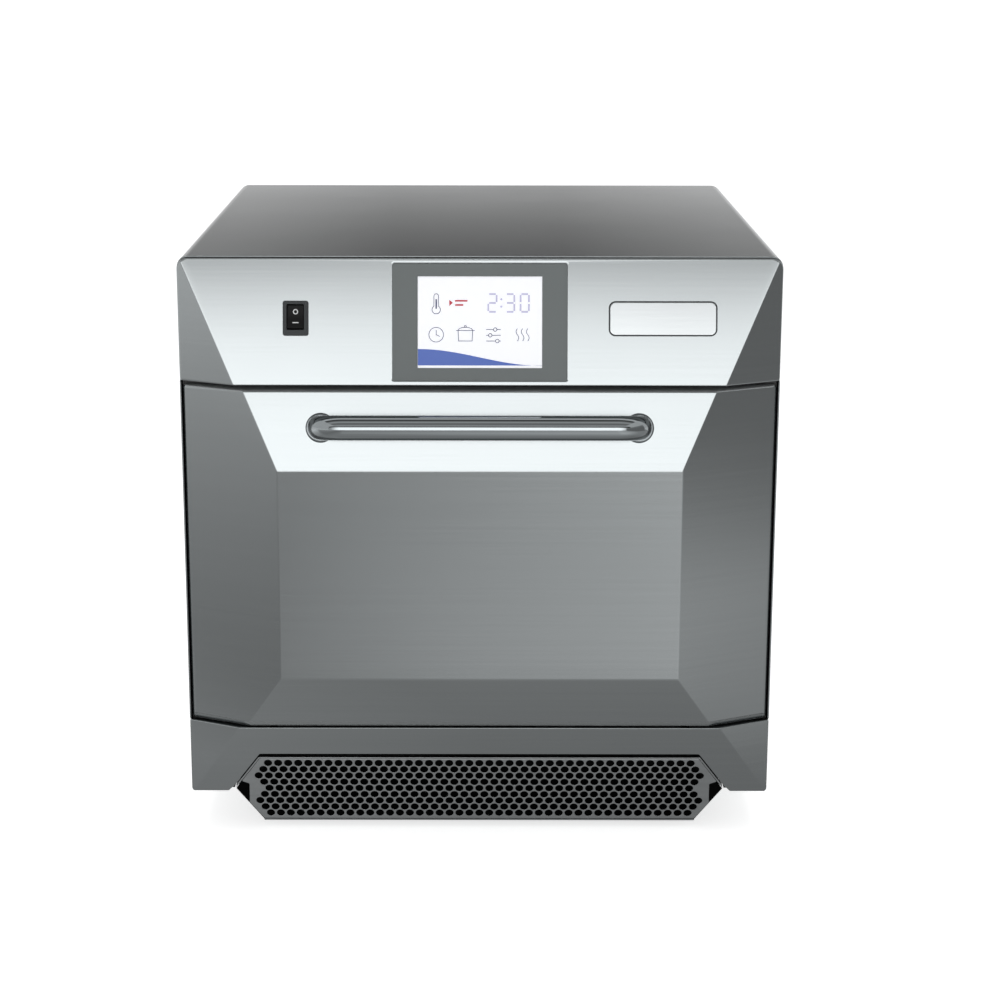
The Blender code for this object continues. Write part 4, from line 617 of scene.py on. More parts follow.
doorLow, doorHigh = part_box("door_skin")
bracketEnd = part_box("hinge_bracket_right")[1].x
door = {"low": doorLow.z - 0.0055,  # the rolled edges reach past the solid towards the next panels
        "high": doorHigh.z + 0.001, "half": half - 0.0029, "sideStart": doorHigh.x - 0.003,
        "wall": 0.0013, "corner": 0.0038, "hemSide": 0.0075, "hemEnd": 0.0019,
        "slot": (bracketEnd - 0.018, bracketEnd - 0.010),  # for the fixed hinge arms, in the lower wall
        "slotReach": 0.0230, "slotHeight": 0.003, "slotLines": (-0.01, 0.02)}
doorLoops = [
    {"corners": sheetCorners(door["half"], door["low"], door["high"], door["corner"], door["corner"]),
     "roll": (0.0036, 0.0026, 0.0050), "rollDepth": (0.003, 0.010, 0.0036), "back": 0.005,
     "dish": (0.0, 0.0, 0.0014), "dip": 1.3,
     "hem": hemBox(door["half"], door["low"], door["high"], door["hemSide"], door["hemEnd"],
                   door["hemEnd"])}]
slotLines = [[(sign * x, door["low"] + z) for z in door["slotLines"]]
             for sign in (-1, 1) for x in door["slot"]]
points, faces = frontSheet(doorLoops, door["sideStart"], slotLines)


def inHingeSlot(face):
    # true where a face's middle lies in one of the two slots
    x, y, z = points[list(face)].mean(0)
    return (door["slot"][0] < abs(x) < door["slot"][1] and z < door["low"] + door["slotHeight"]
            and y > shape["plane"] - door["slotReach"])


faces = [face for face in faces if not inHingeSlot(face)]
makePiece("door_sheet", points, faces, steelFront, "door", "brushed_outer_steel", ["door_skin"],
          wall=door["wall"], closed=False, edge=steelEdgeLightened)

lower = {"high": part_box("lower_panel")[1].z - 0.0005, "low": base - 0.0005, "wall": 0.0013,
         "corner": 0.0034, "footCorner": 0.0028, "bend": 0.002,
         "cutFoot": 0.2546, "cutKnee": (0.2475, base + 0.0071), "cutTop": (0.2209, base + 0.0442)}
lowerRight = [(*lower["cutTop"], lower["bend"]), (*lower["cutKnee"], lower["bend"]),
              (lower["cutFoot"], lower["low"], lower["footCorner"]),
              (half, lower["low"], lower["corner"]), (half, lower["high"], lower["bend"])]
lowerWalk = lowerRight + [(-x, z, radius) for x, z, radius in reversed(lowerRight)]
lowerLoops = [{"corners": lowerWalk[6:] + lowerWalk[:6],  # the walk starts at a lower outer corner
               "roll": (0.0018, 0.001, 0.0018), "rollDepth": 0.0018, "back": 0.0037}]
makePiece("lower_sheet", *frontSheet(lowerLoops, fascia["sideStart"]), steelFront, "cabinet",
          "brushed_outer_steel", ["lower_panel"], wall=lower["wall"], closed=False)
print("front panels made")


# cabinet cover, one sheet wrapped over both sides and the top

wrap = {"wall": 0.0015, "corner": 0.012, "cornerSteps": 14, "front": 0.004, "forward": 0.003,
        "ramp": 0.0015, "gap": 0.0002, "footCorner": 0.0001, "edgeSteps": 9}
outer, normal = roundedLoop([(half, base, wrap["footCorner"]), (half, top, wrap["corner"]),
                             (-half, top, wrap["corner"]), (-half, base, wrap["footCorner"])],
                            wrap["cornerSteps"])
# the open run from the right foot of the sheet to the left one
keep = slice(wrap["cornerSteps"], len(outer) - wrap["cornerSteps"])
outer, normal = outer[keep], normal[keep]
# its front edge runs forward over the fascia and beside the door, and stays behind their side rims
notch = (lower["high"] + wrap["gap"], lower["high"] + wrap["gap"] + wrap["ramp"],
         fascia["low"] - wrap["gap"] - wrap["ramp"], fascia["low"] - wrap["gap"])
side = np.array([(half, z) for z in notch])
outer = np.concatenate([outer[:1], side, outer[1:-1], (side * (-1, 1))[::-1], outer[-1:]])
normal = np.concatenate([normal[:1], np.tile((1.0, 0.0), (4, 1)), normal[1:-1],
                         np.tile((-1.0, 0.0), (4, 1)), normal[-1:]])
along = np.concatenate([[0], np.cumsum(np.hypot(*np.diff(outer, axis=0).T))])
overTop = np.clip((normal[:, 1] - 0.3) / 0.6, 0, 1)  # eases in round the two upper corners
share = np.maximum(overTop, np.interp(outer[:, 1], notch, (0, 1, 1, 0)))
frontEdge = shape["plane"] + wrap["front"] - wrap["forward"] * share
# sheet section: a flat strip with half-round front and rear edges
turn = np.linspace(0, math.pi, wrap["edgeSteps"])
r = wrap["wall"] / 2
inset = np.concatenate([r - r * np.cos(turn), r + r * np.cos(turn)])
frontRound = frontEdge[:, None] + r - r * np.sin(turn)
rearRound = np.broadcast_to(shape["rear"] - r + r * np.sin(turn), frontRound.shape)
points = np.stack([outer[:, None, 0] - normal[:, None, 0] * inset,
                   np.concatenate([frontRound, rearRound], 1),
                   outer[:, None, 1] - normal[:, None, 1] * inset], -1)
rows, columns = points.shape[:2]
uv = np.stack([np.repeat(along, columns), points.reshape(-1, 3)[:, 1]], 1)
makePiece("cabinet_wrap", points.reshape(-1, 3), tubeFaces(rows, columns), steelWrap, "cabinet",
          "brushed_outer_steel", ["outer_cover"], uv=uv)
print("cover made")


# handle: a round bar bent at both ends, with a collar on each foot

handle = {"radius": 0.0118, "span": 0.1531, "z": top - 0.1611, "standoff": 0.0394, "bend": 0.024,
          "lift": 0.0003, "legSteps": 8, "bendSteps": 25, "barSteps": 12, "sides": 40}
collar = {"radius": 0.0145, "height": 0.006, "fit": 0.0003, "foot": 0.0003, "steps": 9, "sides": 48}


def sweptTube(path, radius, sides):
    # rings round a path: each point gets the two directions across it, kept from twisting
    ahead = np.gradient(path, axis=0)
    ahead /= np.linalg.norm(ahead, axis=1)[:, None]
    flat = np.array((0.0, math.sin(topTilt), math.cos(topTilt)))
    other = np.cross(ahead, flat)
    angle = np.linspace(0, 2 * math.pi, sides, endpoint=False)
    return (path[:, None] + radius * (np.cos(angle)[None, :, None] * flat[None, None]
                                      + np.sin(angle)[None, :, None] * other[:, None]))


# half of the bar's middle line as (along, lift): a leg, a quarter bend and the straight bar
span, bend, standoff = handle["span"], handle["bend"], handle["standoff"]
turn = np.linspace(0, math.pi / 2, handle["bendSteps"])
leg = np.linspace(handle["lift"], standoff - bend, handle["legSteps"])
bar = np.linspace(span - bend, 0, handle["barSteps"])[1:]
halfPath = np.concatenate([
    np.stack([span + 0 * leg, leg], 1),
    np.stack([span - bend * (1 - np.cos(turn)), standoff - bend * (1 - np.sin(turn))], 1)[1:],
    np.stack([bar, standoff + 0 * bar], 1)])
flatPath = np.concatenate([halfPath, (halfPath * (-1, 1))[::-1][1:]])
path = onFacet(flatPath[:, 0], 0.0, flatPath[:, 1], 0.0, handle["z"])
rings = sweptTube(path, handle["radius"], handle["sides"])
makePiece("handle_bar", rings.reshape(-1, 3), tubeFaces(*rings.shape[:2]), steelPolished, "door",
          "polished_handle", ["door_handle"], angle=50)


def turnedRing(profile, steps, centreX, centreZ):
    # a (radius, lift) outline turned about the facet's normal
    angle = np.linspace(0, 2 * math.pi, steps, endpoint=False)
    profile = np.asarray(profile, float)
    return onFacet(profile[None, :, 0] * np.cos(angle)[:, None],
                   profile[None, :, 0] * np.sin(angle)[:, None],
                   np.broadcast_to(profile[None, :, 1], (steps, len(profile))), centreX, centreZ)


bore = handle["radius"] + collar["fit"]
foot, start = collar["foot"], 2 * collar["foot"]
turn = np.linspace(0, math.pi / 2, collar["steps"])
dome = np.stack([bore + (collar["radius"] - bore) * np.cos(turn),
                 start + (collar["height"] - start) * np.sin(turn)], 1)
collarProfile = np.concatenate([[(bore, foot), (collar["radius"] - foot, foot)], dome])
for side, sign in (("left", -1), ("right", 1)):
    ring = turnedRing(collarProfile, collar["sides"], sign * handle["span"], handle["z"])
    makePiece("collar_" + side, ring.reshape(-1, 3),
              gridFaces(collar["sides"], len(collarProfile), True, True),
              steelPolished, "door", "polished_handle", ["handle_collar_" + side])
print("handle made")


# air filter: perforated plate with 395 holes in a six-sided steel rim with blunt tips

tray = {"low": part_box("filter_frame")[0].z - 0.0003, "high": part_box("filter_frame")[1].z,
        "tip": (0.2491, 0.0483),  # x and z where the upper and lower slants would meet
        "shoulder": 0.2225, "lowShoulder": 0.2200, "setback": 0.001,
        "blunt": (0.26267, -0.309),  # the steep line x = offset + lean z that cuts the tip off
        # the plate's end: x where it leaves the lower slant, its corner, z where it meets the upper one
        "clip": (0.2342, (0.2334, 0.0531), 0.0562),
        # insets of the upper half, the bottom edge and the lower slants
        "plateInset": (0.0018, 0.0021, 0.0014), "openingInset": (0.0017, 0.0016, 0.0007),
        "corner": 0.0014, "openingCorner": 0.0010,
        "pitch": 0.01015, "rowPitch": 0.00765, "hole": 0.0084, "holeMiddle": 0.0479, "holeSides": 12,
        "rows": (43, 44, 45, 44, 43, 44, 45, 44, 43)}


def slopeReach(x, z):
    # forward reach of the lower facet's plane, less the filter's setback
    return (z - base) * shape["reach"] / shape["bottomRun"] - tray["setback"] + 0 * x


def trayCorners(inset, radius, clip=None, hole=False):
    # eight-sided outline, or ten-sided where it is clipped
    upper, bottom, slant = inset
    tipX, tipZ = tray["tip"]
    run = (tipX - tray["shoulder"]) / (tray["high"] - tipZ)
    lowRun = (tipX - tray["lowShoulder"]) / (tipZ - tray["low"])
    slope = math.hypot(run, 1)
    lowZ, highZ = tray["low"] + bottom, tray["high"] - upper

    def highX(z):
        return tipX - upper * slope - run * (z - tipZ)

    def lowX(z):
        return tipX - slant * slope - lowRun * (tipZ - z)

    right = [(lowX(lowZ), lowZ, radius)]
    if clip:
        endX, corner, endZ = clip
        right += [(endX, tipZ - (lowX(tipZ) - endX) / lowRun, radius), (*corner, radius),
                  (highX(endZ), endZ, radius)]
    else:
        offset, lean = tray["blunt"]
        offset -= slant
        z = (offset - lowX(0)) / (lowRun - lean)
        right.append((lowX(z), z, radius))
        z = (highX(0) - offset) / (run + lean)
        right.append((highX(z), z, radius))
    right.append((highX(highZ), highZ, radius))
    walk = right + [(-x, z, r) for x, z, r in reversed(right)]
    return walk[::-1] if hole else walk


holeAngle = -np.arange(tray["holeSides"]) * 2 * math.pi / tray["holeSides"]  # clockwise
holeUnit = np.stack([np.cos(holeAngle), np.sin(holeAngle)], 1)
slant = math.atan2(shape["reach"], shape["bottomRun"])
holeShape = holeUnit * tray["hole"] / 2 * (1, math.cos(slant))
holeLoops = []
for row, count in enumerate(tray["rows"]):
    z = tray["holeMiddle"] + ((len(tray["rows"]) - 1) / 2 - row) * tray["rowPitch"]
    for column in range(count):
        x = (column - (count - 1) / 2) * tray["pitch"]
        holeLoops.append({"outline": (holeShape + (x, z), -holeUnit), "roll": 0.0002, "rings": 2,
                          "rollDepth": 0.0002, "drop": 0.0013, "fold": 0.0001, "foldSteps": (1.0,)})
plateLoops = [{"corners": trayCorners(tray["plateInset"], tray["corner"], tray["clip"]),
               "roll": (0.0009, 0.0008, 0.0011), "rollDepth": 0.0010, "drop": 0.0050, "fold": 0.0002,
               "steps": 4}] + holeLoops
rimLoops = [{"corners": trayCorners((0.0, 0.0, 0.0), tray["corner"]),
             "roll": 0.0006, "rollDepth": 0.0006, "drop": 0.0080, "fold": 0.0002},
            {"corners": trayCorners(tray["openingInset"], tray["openingCorner"], hole=True),
             "roll": 0.0002, "rollDepth": 0.0003, "drop": 0.0070, "fold": 0.0001}]
makePiece("filter_rim", *pressedSheet(rimLoops, (), slopeReach), steelMill, "air_filter",
          "brushed_outer_steel", closed=False)
makePiece("filter_plate", *pressedSheet(plateLoops, (), slopeReach), steelMill, "air_filter",
          "brushed_outer_steel", ["filter_face"], closed=False, angle=40)
print("filter made, holes:", len(holeLoops))


# screen surround, display and its generic layout

def onScreen(u, v, lift):
    # a point over the screen: u and v from its middle
    return onFacet(u, v, lift, 0.0, screen["z"])


def flatLoop(width, height, radius, hole=False, at=(0.0, 0.0)):
    # rounded rectangle about a middle point, walked clockwise where it is a hole
    w, h = width / 2, height / 2
    corners = [(at[0] - w, at[1] - h, radius), (at[0] + w, at[1] - h, radius),
               (at[0] + w, at[1] + h, radius), (at[0] - w, at[1] + h, radius)]
    return {"corners": corners[::-1] if hole else corners}


def flatSheet(loops, toSpace, lift):
    # a flat sheet with its face at one lift over a facet
    return pressedSheet(loops, (), lambda u, v: 0 * u, lambda u, v, d: toSpace(u, v, d + lift))


window = {"width": 0.1198, "height": 0.088, "recess": 0.0005, "displayRecess": 0.0013,
          "gap": 0.0004, "displayGap": 0.0002}
bezelLoops = [
    {**flatLoop(screen["width"] - window["gap"], screen["height"] - window["gap"],
                screen["corner"] - window["gap"]),
     "roll": 0.0002, "rollDepth": 0.0002, "drop": 0.0025, "fold": 0.0002},
    {**flatLoop(window["width"], window["height"], 0.0006, True),
     "roll": 0.0003, "rollDepth": 0.0003, "drop": 0.0018, "fold": 0.0002}]
makePiece("screen_surround", *flatSheet(bezelLoops, onScreen, -window["recess"]), greySurround,
          "cabinet", "screen_surround", ["screen_bezel"], wall=0.001, closed=False)


def displayInk(name, hexColour, glow=0.2):
    # Lit display under glass: even colour, smooth gloss, a little light of its own.
    material, tree, shader = newMaterial(name)
    wipe = noise(tree, addNode(tree, "TexCoord", {}, "Object"), 30.0, 3.0)
    feed(tree, shader, {"Roughness": spread(tree, wipe, 0.10, 0.2, 0.35, 0.7),
                        "Base Color": linear(hexColour), "Emission Color": linear(hexColour),
                        "Emission Strength": glow, "Specular IOR Level": 0.15})
    return material


displayWhite = displayInk("display white", "f4f5f9")
displayBlue = displayInk("display blue", "5067ae")
displayNavy = displayInk("display navy", "3b4166")
displayLilac = displayInk("display lilac", "b9b7d2")
displayRed = displayInk("display red", "b5404c")

displayLoop = {**flatLoop(window["width"] - window["displayGap"],
                          window["height"] - window["displayGap"], 0.0005),
               "roll": 0.0001, "rollDepth": 0.0001, "drop": 0.003, "fold": 0.0001}
makePiece("display_ground", *flatSheet([displayLoop], onScreen, -window["displayRecess"]),
          displayWhite, "cabinet", "display_face", ["display_module"], wall=0.0004, closed=False)


def arc(u, v, radius, start=0.0, end=360.0, steps=33, squash=1.0):
    # points of an arc round (u, v), from one angle to the other in degrees
    angle = np.radians(np.linspace(start, end, steps))
    return np.stack([u + radius * np.cos(angle), v + radius * squash * np.sin(angle)], 1)


def ribbon(path, width):
    # flat strip along a path in millimetres: both sides stand half a width off, mitred at bends
    path = np.asarray(path, float)
    closed = np.hypot(*(path[0] - path[-1])) < 1e-6
    if closed:
        path = path[:-1]
    ahead = np.roll(path, -1, 0) - path
    behind = path - np.roll(path, 1, 0)
    if not closed:
        ahead[-1], behind[0] = behind[-1], ahead[0]
    ahead /= np.hypot(*ahead.T)[:, None]
    behind /= np.hypot(*behind.T)[:, None]
    mean = ahead + behind
    mean /= np.maximum(np.hypot(*mean.T)[:, None], 1e-6)
    reach = width / 2 / np.maximum((mean * ahead).sum(1), 0.5)[:, None]
    side = np.stack([-mean[:, 1], mean[:, 0]], 1) * reach
    points = np.stack([path + side, path - side], 1).reshape(-1, 2)
    return points, gridFaces(len(path), 2, closed, False)


def screenMark(name, ribbons, fills, ink, lift, toSpace=onScreen, body="cabinet", slot="display_face"):
    # joins strips and filled outlines (in millimetres) into one thin piece
    points, faces = [], []
    for path, width in ribbons:
        p, f = ribbon(path, width)
        faces += [[i + sum(map(len, points)) for i in q] for q in f]
        points.append(p)
    for outline in fills:
        p = np.asarray(outline, float)
        faces.append([i + sum(map(len, points)) for i in range(len(p))])
        points.append(p)
    flat = np.concatenate(points) / 1000
    space = toSpace(flat[:, 0], flat[:, 1], np.full(len(flat), lift))
    makePiece(name, space, faces, ink, body, slot, wall=0.00003, closed=False)


layout = {"line": 0.62, "lift": -window["displayRecess"] + 0.00006, "margin": 0.3}
# half the window's sizes in millimetres, less the margin
w, h = window["width"] * 500 - layout["margin"], window["height"] * 500 - layout["margin"]
t = np.linspace(0, 1, 25)
wave = np.stack([-w + 2 * w * t, -h + 10 + 8 * np.cos(math.pi * t)], 1)
screenMark("display_footer", [], [[(-w, -h + 2.2), (w, -h + 2.2)] + [tuple(p) for p in wave[::-1]]],
           displayBlue, layout["lift"])
line = layout["line"]
icons = [
    # thermometer
    (np.concatenate([arc(-42, 25, 2.2, 0, 180, 13), arc(-42, 12, 4.0, 124, 416, 31),
                     [(-39.8, 25)]]), line),
    ([(-42, 22), (-42, 13)], 1.4),
    # clock
    (arc(-42, -12, 7), line), ([(-42, -7.5), (-42, -12), (-38.6, -13.6)], line),
    # covered pot
    ([(-21, -8), (-20.5, -18), (-7.5, -18), (-7, -8)], line), ([(-23, -8), (-5, -8)], line),
    (arc(-14, -8, 7, 0, 180, 17, 0.45), line), (arc(-14, -4, 0.9), line),
    # sliders
    ([(6, -7), (13, -7)], line), ([(16.4, -7), (20, -7)], line), (arc(14.7, -7, 1.7, steps=17), line),
    ([(6, -12.5), (8.2, -12.5)], line), ([(11.6, -12.5), (20, -12.5)], line),
    (arc(9.9, -12.5, 1.7, steps=17), line),
    ([(6, -18), (15, -18)], line), ([(18.4, -18), (20, -18)], line), (arc(16.7, -18, 1.7, steps=17), line)]
for shift in (-5, 0, 5):  # rising heat
    rise = np.linspace(0, 1, 15)
    icons.append((np.stack([41 + shift + 1.3 * np.sin(rise * 2 * math.pi), -18 + 12 * rise], 1), line))
screenMark("display_icons", icons, [], displayNavy, layout["lift"])

# pale timer digits, seven strokes each
strokes = {"a": ((0, 2), (1, 2)), "b": ((1, 2), (1, 1)), "c": ((1, 1), (1, 0)), "d": ((0, 0), (1, 0)),
           "e": ((0, 1), (0, 0)), "f": ((0, 2), (0, 1)), "g": ((0, 1), (1, 1))}
digits = {"0": "abcdef", "2": "abged", "3": "abgcd"}
pale = []
for digit, at in (("2", 8.0), ("3", 25.0), ("0", 39.0)):
    for key in digits[digit]:
        ends = np.array(strokes[key], float) * (8, 8.5) + (at, 10)
        step = ends[1] - ends[0]
        pale.append((np.array([ends[0] + step * 0.1, ends[1] - step * 0.1]), 1.7))
colon = [arc(20.5, v, 1.1, steps=13)[:-1] for v in (15, 22)]
screenMark("display_digits", pale, colon, displayLilac, layout["lift"])
screenMark("display_start_mark", [([(-24, 20.5), (-12, 20.5)], 1.6), ([(-24, 16.5), (-16, 16.5)], 1.6)],
           [[(-29.5, 15.5), (-26, 18.5), (-29.5, 21.5)]], displayRed, layout["lift"])
print("screen made")


# rocker switch and blank badge

def onSwitch(u, v, lift):
    # a point over the switch: u and v from the middle of its frame
    return onFacet(u, v, lift, rocker["x"], rocker["z"])


frameLoops = [
    {**flatLoop(rocker["width"], rocker["height"], 0.0023), "roll": 0.0008, "rollDepth": 0.0008,
     "drop": 0.0021, "fold": 0.0002},
    {**flatLoop(*rocker["hole"], 0.0008, True, rocker["at"]), "roll": 0.0004,
     "rollDepth": 0.0005, "drop": 0.006, "fold": 0.0002}]
makePiece("switch_frame", *flatSheet(frameLoops, onSwitch, rocker["frameLift"]), graphiteNylon,
          "cabinet", "black_plastic", ["switch_housing"], wall=0.0007, closed=False)


def onRocker(u, v, lift):
    # rocker's own frame, turned about its pivot behind the facet
    turn = rocker["turn"]
    return onSwitch(u, v * math.cos(turn) + lift * math.sin(turn),
                    lift * math.cos(turn) - v * math.sin(turn) - rocker["pivot"])


crown = {"middle": 0.0012, "rise": 0.0013, "half": 0.01125, "power": 1.4,
         "levels": (-0.0095, 0.0115, 17), "levelEnd": 0.009}


def rockerCrown(u, v):
    # dished top: its lift grows from the middle to both ends as a power of the distance
    return crown["middle"] + crown["rise"] * np.abs(v / crown["half"]) ** crown["power"]


levels = [((-crown["levelEnd"], v), (crown["levelEnd"], v)) for v in np.linspace(*crown["levels"])]
capLoop = {**flatLoop(*rocker["cap"], 0.0009, at=rocker["at"]),
           "roll": 0.0005, "rollDepth": 0.0005, "back": 0.003, "fold": 0.0001}
makePiece("rocker_cap", *pressedSheet([capLoop], levels, rockerCrown, onRocker), blackNylon,
          "rocker", "black_plastic", ["switch_rocker"], wall=0.0008, closed=False)


def onCrown(u, v, lift):
    # a point over the rocker's dished top
    return onRocker(u, v, lift + rockerCrown(u, v))


dash = np.stack([np.linspace(-2.9, 2.9, 5), np.full(5, -4.5)], 1)
screenMark("rocker_marks", [(arc(-0.1, 6.1, 2.05), 0.95), (dash, 0.85)], [], printInk, 0.00006, onCrown,
           "rocker", "black_plastic")

badge = {"x": 0.1758, "z": top - 0.0584, "width": 0.1043, "height": 0.0337, "corner": 0.0065,
         "rim": 0.0012, "rimLift": 0.0014, "lift": 0.00185}


def onBadge(u, v, lift):
    # a point over the badge: u and v from its middle
    return onFacet(u, v, lift, badge["x"], badge["z"])


badgeRimLoop = {**flatLoop(badge["width"], badge["height"], badge["corner"]),
                "roll": 0.0004, "rollDepth": 0.0004, "drop": 0.0012, "fold": 0.0001}
makePiece("badge_rim", *flatSheet([badgeRimLoop], onBadge, badge["rimLift"]), graphiteNylon,
          "cabinet", "black_plastic", ["badge_plate"], wall=0.0004, closed=False)
inner = 2 * badge["rim"]
badgeLoop = {**flatLoop(badge["width"] - inner, badge["height"] - inner, badge["corner"] - badge["rim"]),
             "roll": 0.0007, "rollDepth": 0.0004, "drop": 0.0005, "fold": 0.0001}
makePiece("badge_blank", *flatSheet([badgeLoop], onBadge, badge["lift"]), nickelPlate, "cabinet",
          "badge_metal", wall=0.0004, closed=False)
print("switch and badge made")


# materials of the CAD nodes that stay

# the filter's frame takes the darkened nylon, painted shade where it shows at the filter's tips
nodeFinish = {"filter_frame": blackMattShaded}
slotFinish = {
    "brushed_outer_steel": steelFront, "polished_handle": steelPolished,
    "plated_chassis_steel": steelPlated, "black_painted_steel": blackCoat,
    "cavity_steel": steelCavity, "dark_rubber": siliconeRubber, "black_plastic": blackNylon,
    "screen_surround": greySurround, "display_face": displayWhite, "badge_metal": nickelPlate,
    "board_laminate": boardLaminate, "insulation_wool": mineralWool, "filter_foam": filterFoamShaded,
    "ceramic": ceramicGlaze, "dark_plate": nonStick, "fan_steel": fanSteel,
    "element_metal": elementSheath, "motor_metal": steelPlated, "cast_aluminium": castAluminium,
    "iron_core": ironCore, "can_metal": castAluminium}
bodyOf = {node: body for body, nodes in frame["record"]["behaviour"]["bodies"].items() for node in nodes}
rounded = {"merge": 1e-6, "flat": 0.3, "width": 0.0004, "segments": 2, "angle": 35}  # angles in degrees


def oneFinish(mesh, finish):
    # the whole mesh in one material
    mesh.materials.clear()
    mesh.materials.append(finish)
    mesh.polygons.foreach_set("material_index", np.zeros(len(mesh.polygons), np.int32))


def finishedCopy(name, finish, slot):
    # a copy of a CAD solid with its corners joined, its flat triangles merged and its edges rounded
    builder = bmesh.new()
    builder.from_mesh(frame["nodes"][name].data)
    bmesh.ops.remove_doubles(builder, verts=builder.verts, dist=rounded["merge"])
    bmesh.ops.dissolve_limit(builder, angle_limit=math.radians(rounded["flat"]), verts=builder.verts,
                             edges=builder.edges, delimit={"NORMAL"})
    mesh = bpy.data.meshes.new(name + "_finished")
    builder.to_mesh(mesh)
    builder.free()
    oneFinish(mesh, finish)
    mesh.shade_smooth()
    mesh.set_sharp_from_angle(angle=math.radians(meshing["sharp"]))
    obj = dressed(mesh, bodyOf[name], slot, "BEVEL", width=rounded["width"], segments=rounded["segments"],
                  limit_method="ANGLE", angle_limit=math.radians(rounded["angle"]), use_clamp_overlap=True)
    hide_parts(name)


for part in frame["record"]["subparts"]:
    name, slot = part["node"], part["material_slot"]
    finish = nodeFinish.get(name, slotFinish[slot])
    oneFinish(frame["nodes"][name].data, finish)
    if name not in replacedNodes:
        finishedCopy(name, finish, slot)
print("inner parts finished")


# screws of the rear panel and the outlet hood

head = {"sides": 12, "lobes": 6, "lobeDepth": 0.12, "inset": 0.0135, "sink": 0.0005,
        "sideRows": (0.058, 0.19, 0.32, 0.45, 0.576), "topColumns": (-0.14, 0.0, 0.14),
        "hoodInset": (0.012, 0.03),  # from the rear panel, and from the hood's top and bottom
        # radius, lift and whether the ring follows the six-lobed socket
        "profile": ((0.0030, -0.0001, 0), (0.0030, 0.0006, 0), (0.0026, 0.0014, 0), (0.0018, 0.0018, 0),
                    (0.00125, 0.0018, 1), (0.00115, 0.0007, 1))}


def panHead(centre, axis):
    # the profile turned about the axis: ring(a) = centre + r(a) (u cos a + v sin a) + lift axis
    axis = np.array(axis, float)
    u = np.cross((0.0, 0.0, 1.0), axis)
    v = np.cross(axis, u)
    angle = np.linspace(0, 2 * math.pi, head["sides"], endpoint=False)
    lobe = head["lobeDepth"] * np.cos(head["lobes"] * angle)
    rings = [np.outer(r * (1 + lobed * lobe) * np.cos(angle), u) + lift * axis + centre
             + np.outer(r * (1 + lobed * lobe) * np.sin(angle), v) for r, lift, lobed in head["profile"]]
    return np.concatenate(rings)


edgeX, rearY = half - head["inset"], shape["rear"] - head["sink"]
spots = [((sign * edgeX, rearY, z), (0, 1, 0)) for z in head["sideRows"] for sign in (-1, 1)]
spots += [((x, rearY, z), (0, 1, 0)) for x in head["topColumns"]
          for z in (head["sideRows"][0], head["sideRows"][-1])]
hoodLow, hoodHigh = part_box("rear_exhaust_hood")
inY, inZ = head["hoodInset"]
spots += [((sign * hoodHigh.x, hoodLow.y + inY, z), (sign, 0, 0))
          for z in (hoodLow.z + inZ, hoodHigh.z - inZ) for sign in (-1, 1)]
rows, columns = len(head["profile"]), head["sides"]
points, faces = [], []
for number, (centre, axis) in enumerate(spots):
    faces += tubeFaces(rows, columns, number * rows * columns)
    points.append(panHead(centre, axis))
makePiece("rear_screws", np.concatenate(points), faces, steelCavity, "cabinet", "plated_chassis_steel",
          angle=40)
print("screws made:", len(spots))


# floor, lights and camera

def whiteRays(tree):
    # one for rays that show the background: the camera's own, mirrored and refracted ones
    seen = addNode(tree, "LightPath", {}, "Is Camera Ray")
    paths = seen.node.outputs
    for key in ("Is Glossy Ray", "Is Transmission Ray"):
        seen = joined(tree, seen, paths[key], "MAXIMUM")
    return seen


def glowCard(name, xs, ys, values, toSpace):
    # a grid of brightness values that only mirrored rays see, like a large lit studio board
    points = np.array([toSpace(x, y) for y in ys for x in xs])
    mesh = bpy.data.meshes.new(name)
    mesh.from_pydata(points.tolist(), [], gridFaces(len(ys), len(xs)))
    glow = mesh.attributes.new("glow", "FLOAT", "POINT")
    glow.data.foreach_set("value", np.array(values, np.float32).ravel())
    material, tree, shader = newMaterial(name)
    level = addNode(tree, "Attribute", {}, "Fac", attribute_name="glow")
    feed(tree, shader, {"Base Color": (0, 0, 0, 1), "Specular IOR Level": 0.0,
                        "Emission Color": (1, 1, 1, 1), "Emission Strength": level})
    mesh.materials.append(material)
    card = bpy.data.objects.new(name, mesh)
    scene.collection.objects.link(card)
    for ray in ("camera", "diffuse", "shadow", "transmission"):
        setattr(card, "visible_" + ray, False)


# floorGlow is the floor's own light where it is seen, fill the room's light on the part
studio = {"floorRadius": 60, "floorSides": 64, "floorGlow": 0.68, "fill": 0.5}
angle = np.linspace(0, 2 * math.pi, studio["floorSides"], endpoint=False)
ring = np.stack([np.cos(angle), np.sin(angle), 0 * angle], 1) * studio["floorRadius"]
floorMesh = bpy.data.meshes.new("studio_floor")
floorMesh.from_pydata(ring.tolist(), [], [list(range(len(ring)))])
floor, tree, shader = newMaterial("white studio floor")
shade = noise(tree, addNode(tree, "TexCoord", {}, "Object"), 3.0)
feed(tree, shader, {"Roughness": spread(tree, shade, 0.75, 0.9), "Base Color": linear("f2f3f3"),
                    "Specular IOR Level": 0.2, "Emission Color": (1, 1, 1, 1),
                    "Emission Strength": spread(tree, whiteRays(tree), 0.0, studio["floorGlow"])})
floorMesh.materials.append(floor)
floorObject = bpy.data.objects.new("studio_floor", floorMesh)
scene.collection.objects.link(floorObject)

world = bpy.data.worlds.new("white studio")
scene.world = world
world.use_nodes = True
tree = world.node_tree
feed(tree, tree.nodes["Background"],
     {"Strength": spread(tree, whiteRays(tree), studio["fill"], 1.0), "Color": (1, 1, 1, 1)})


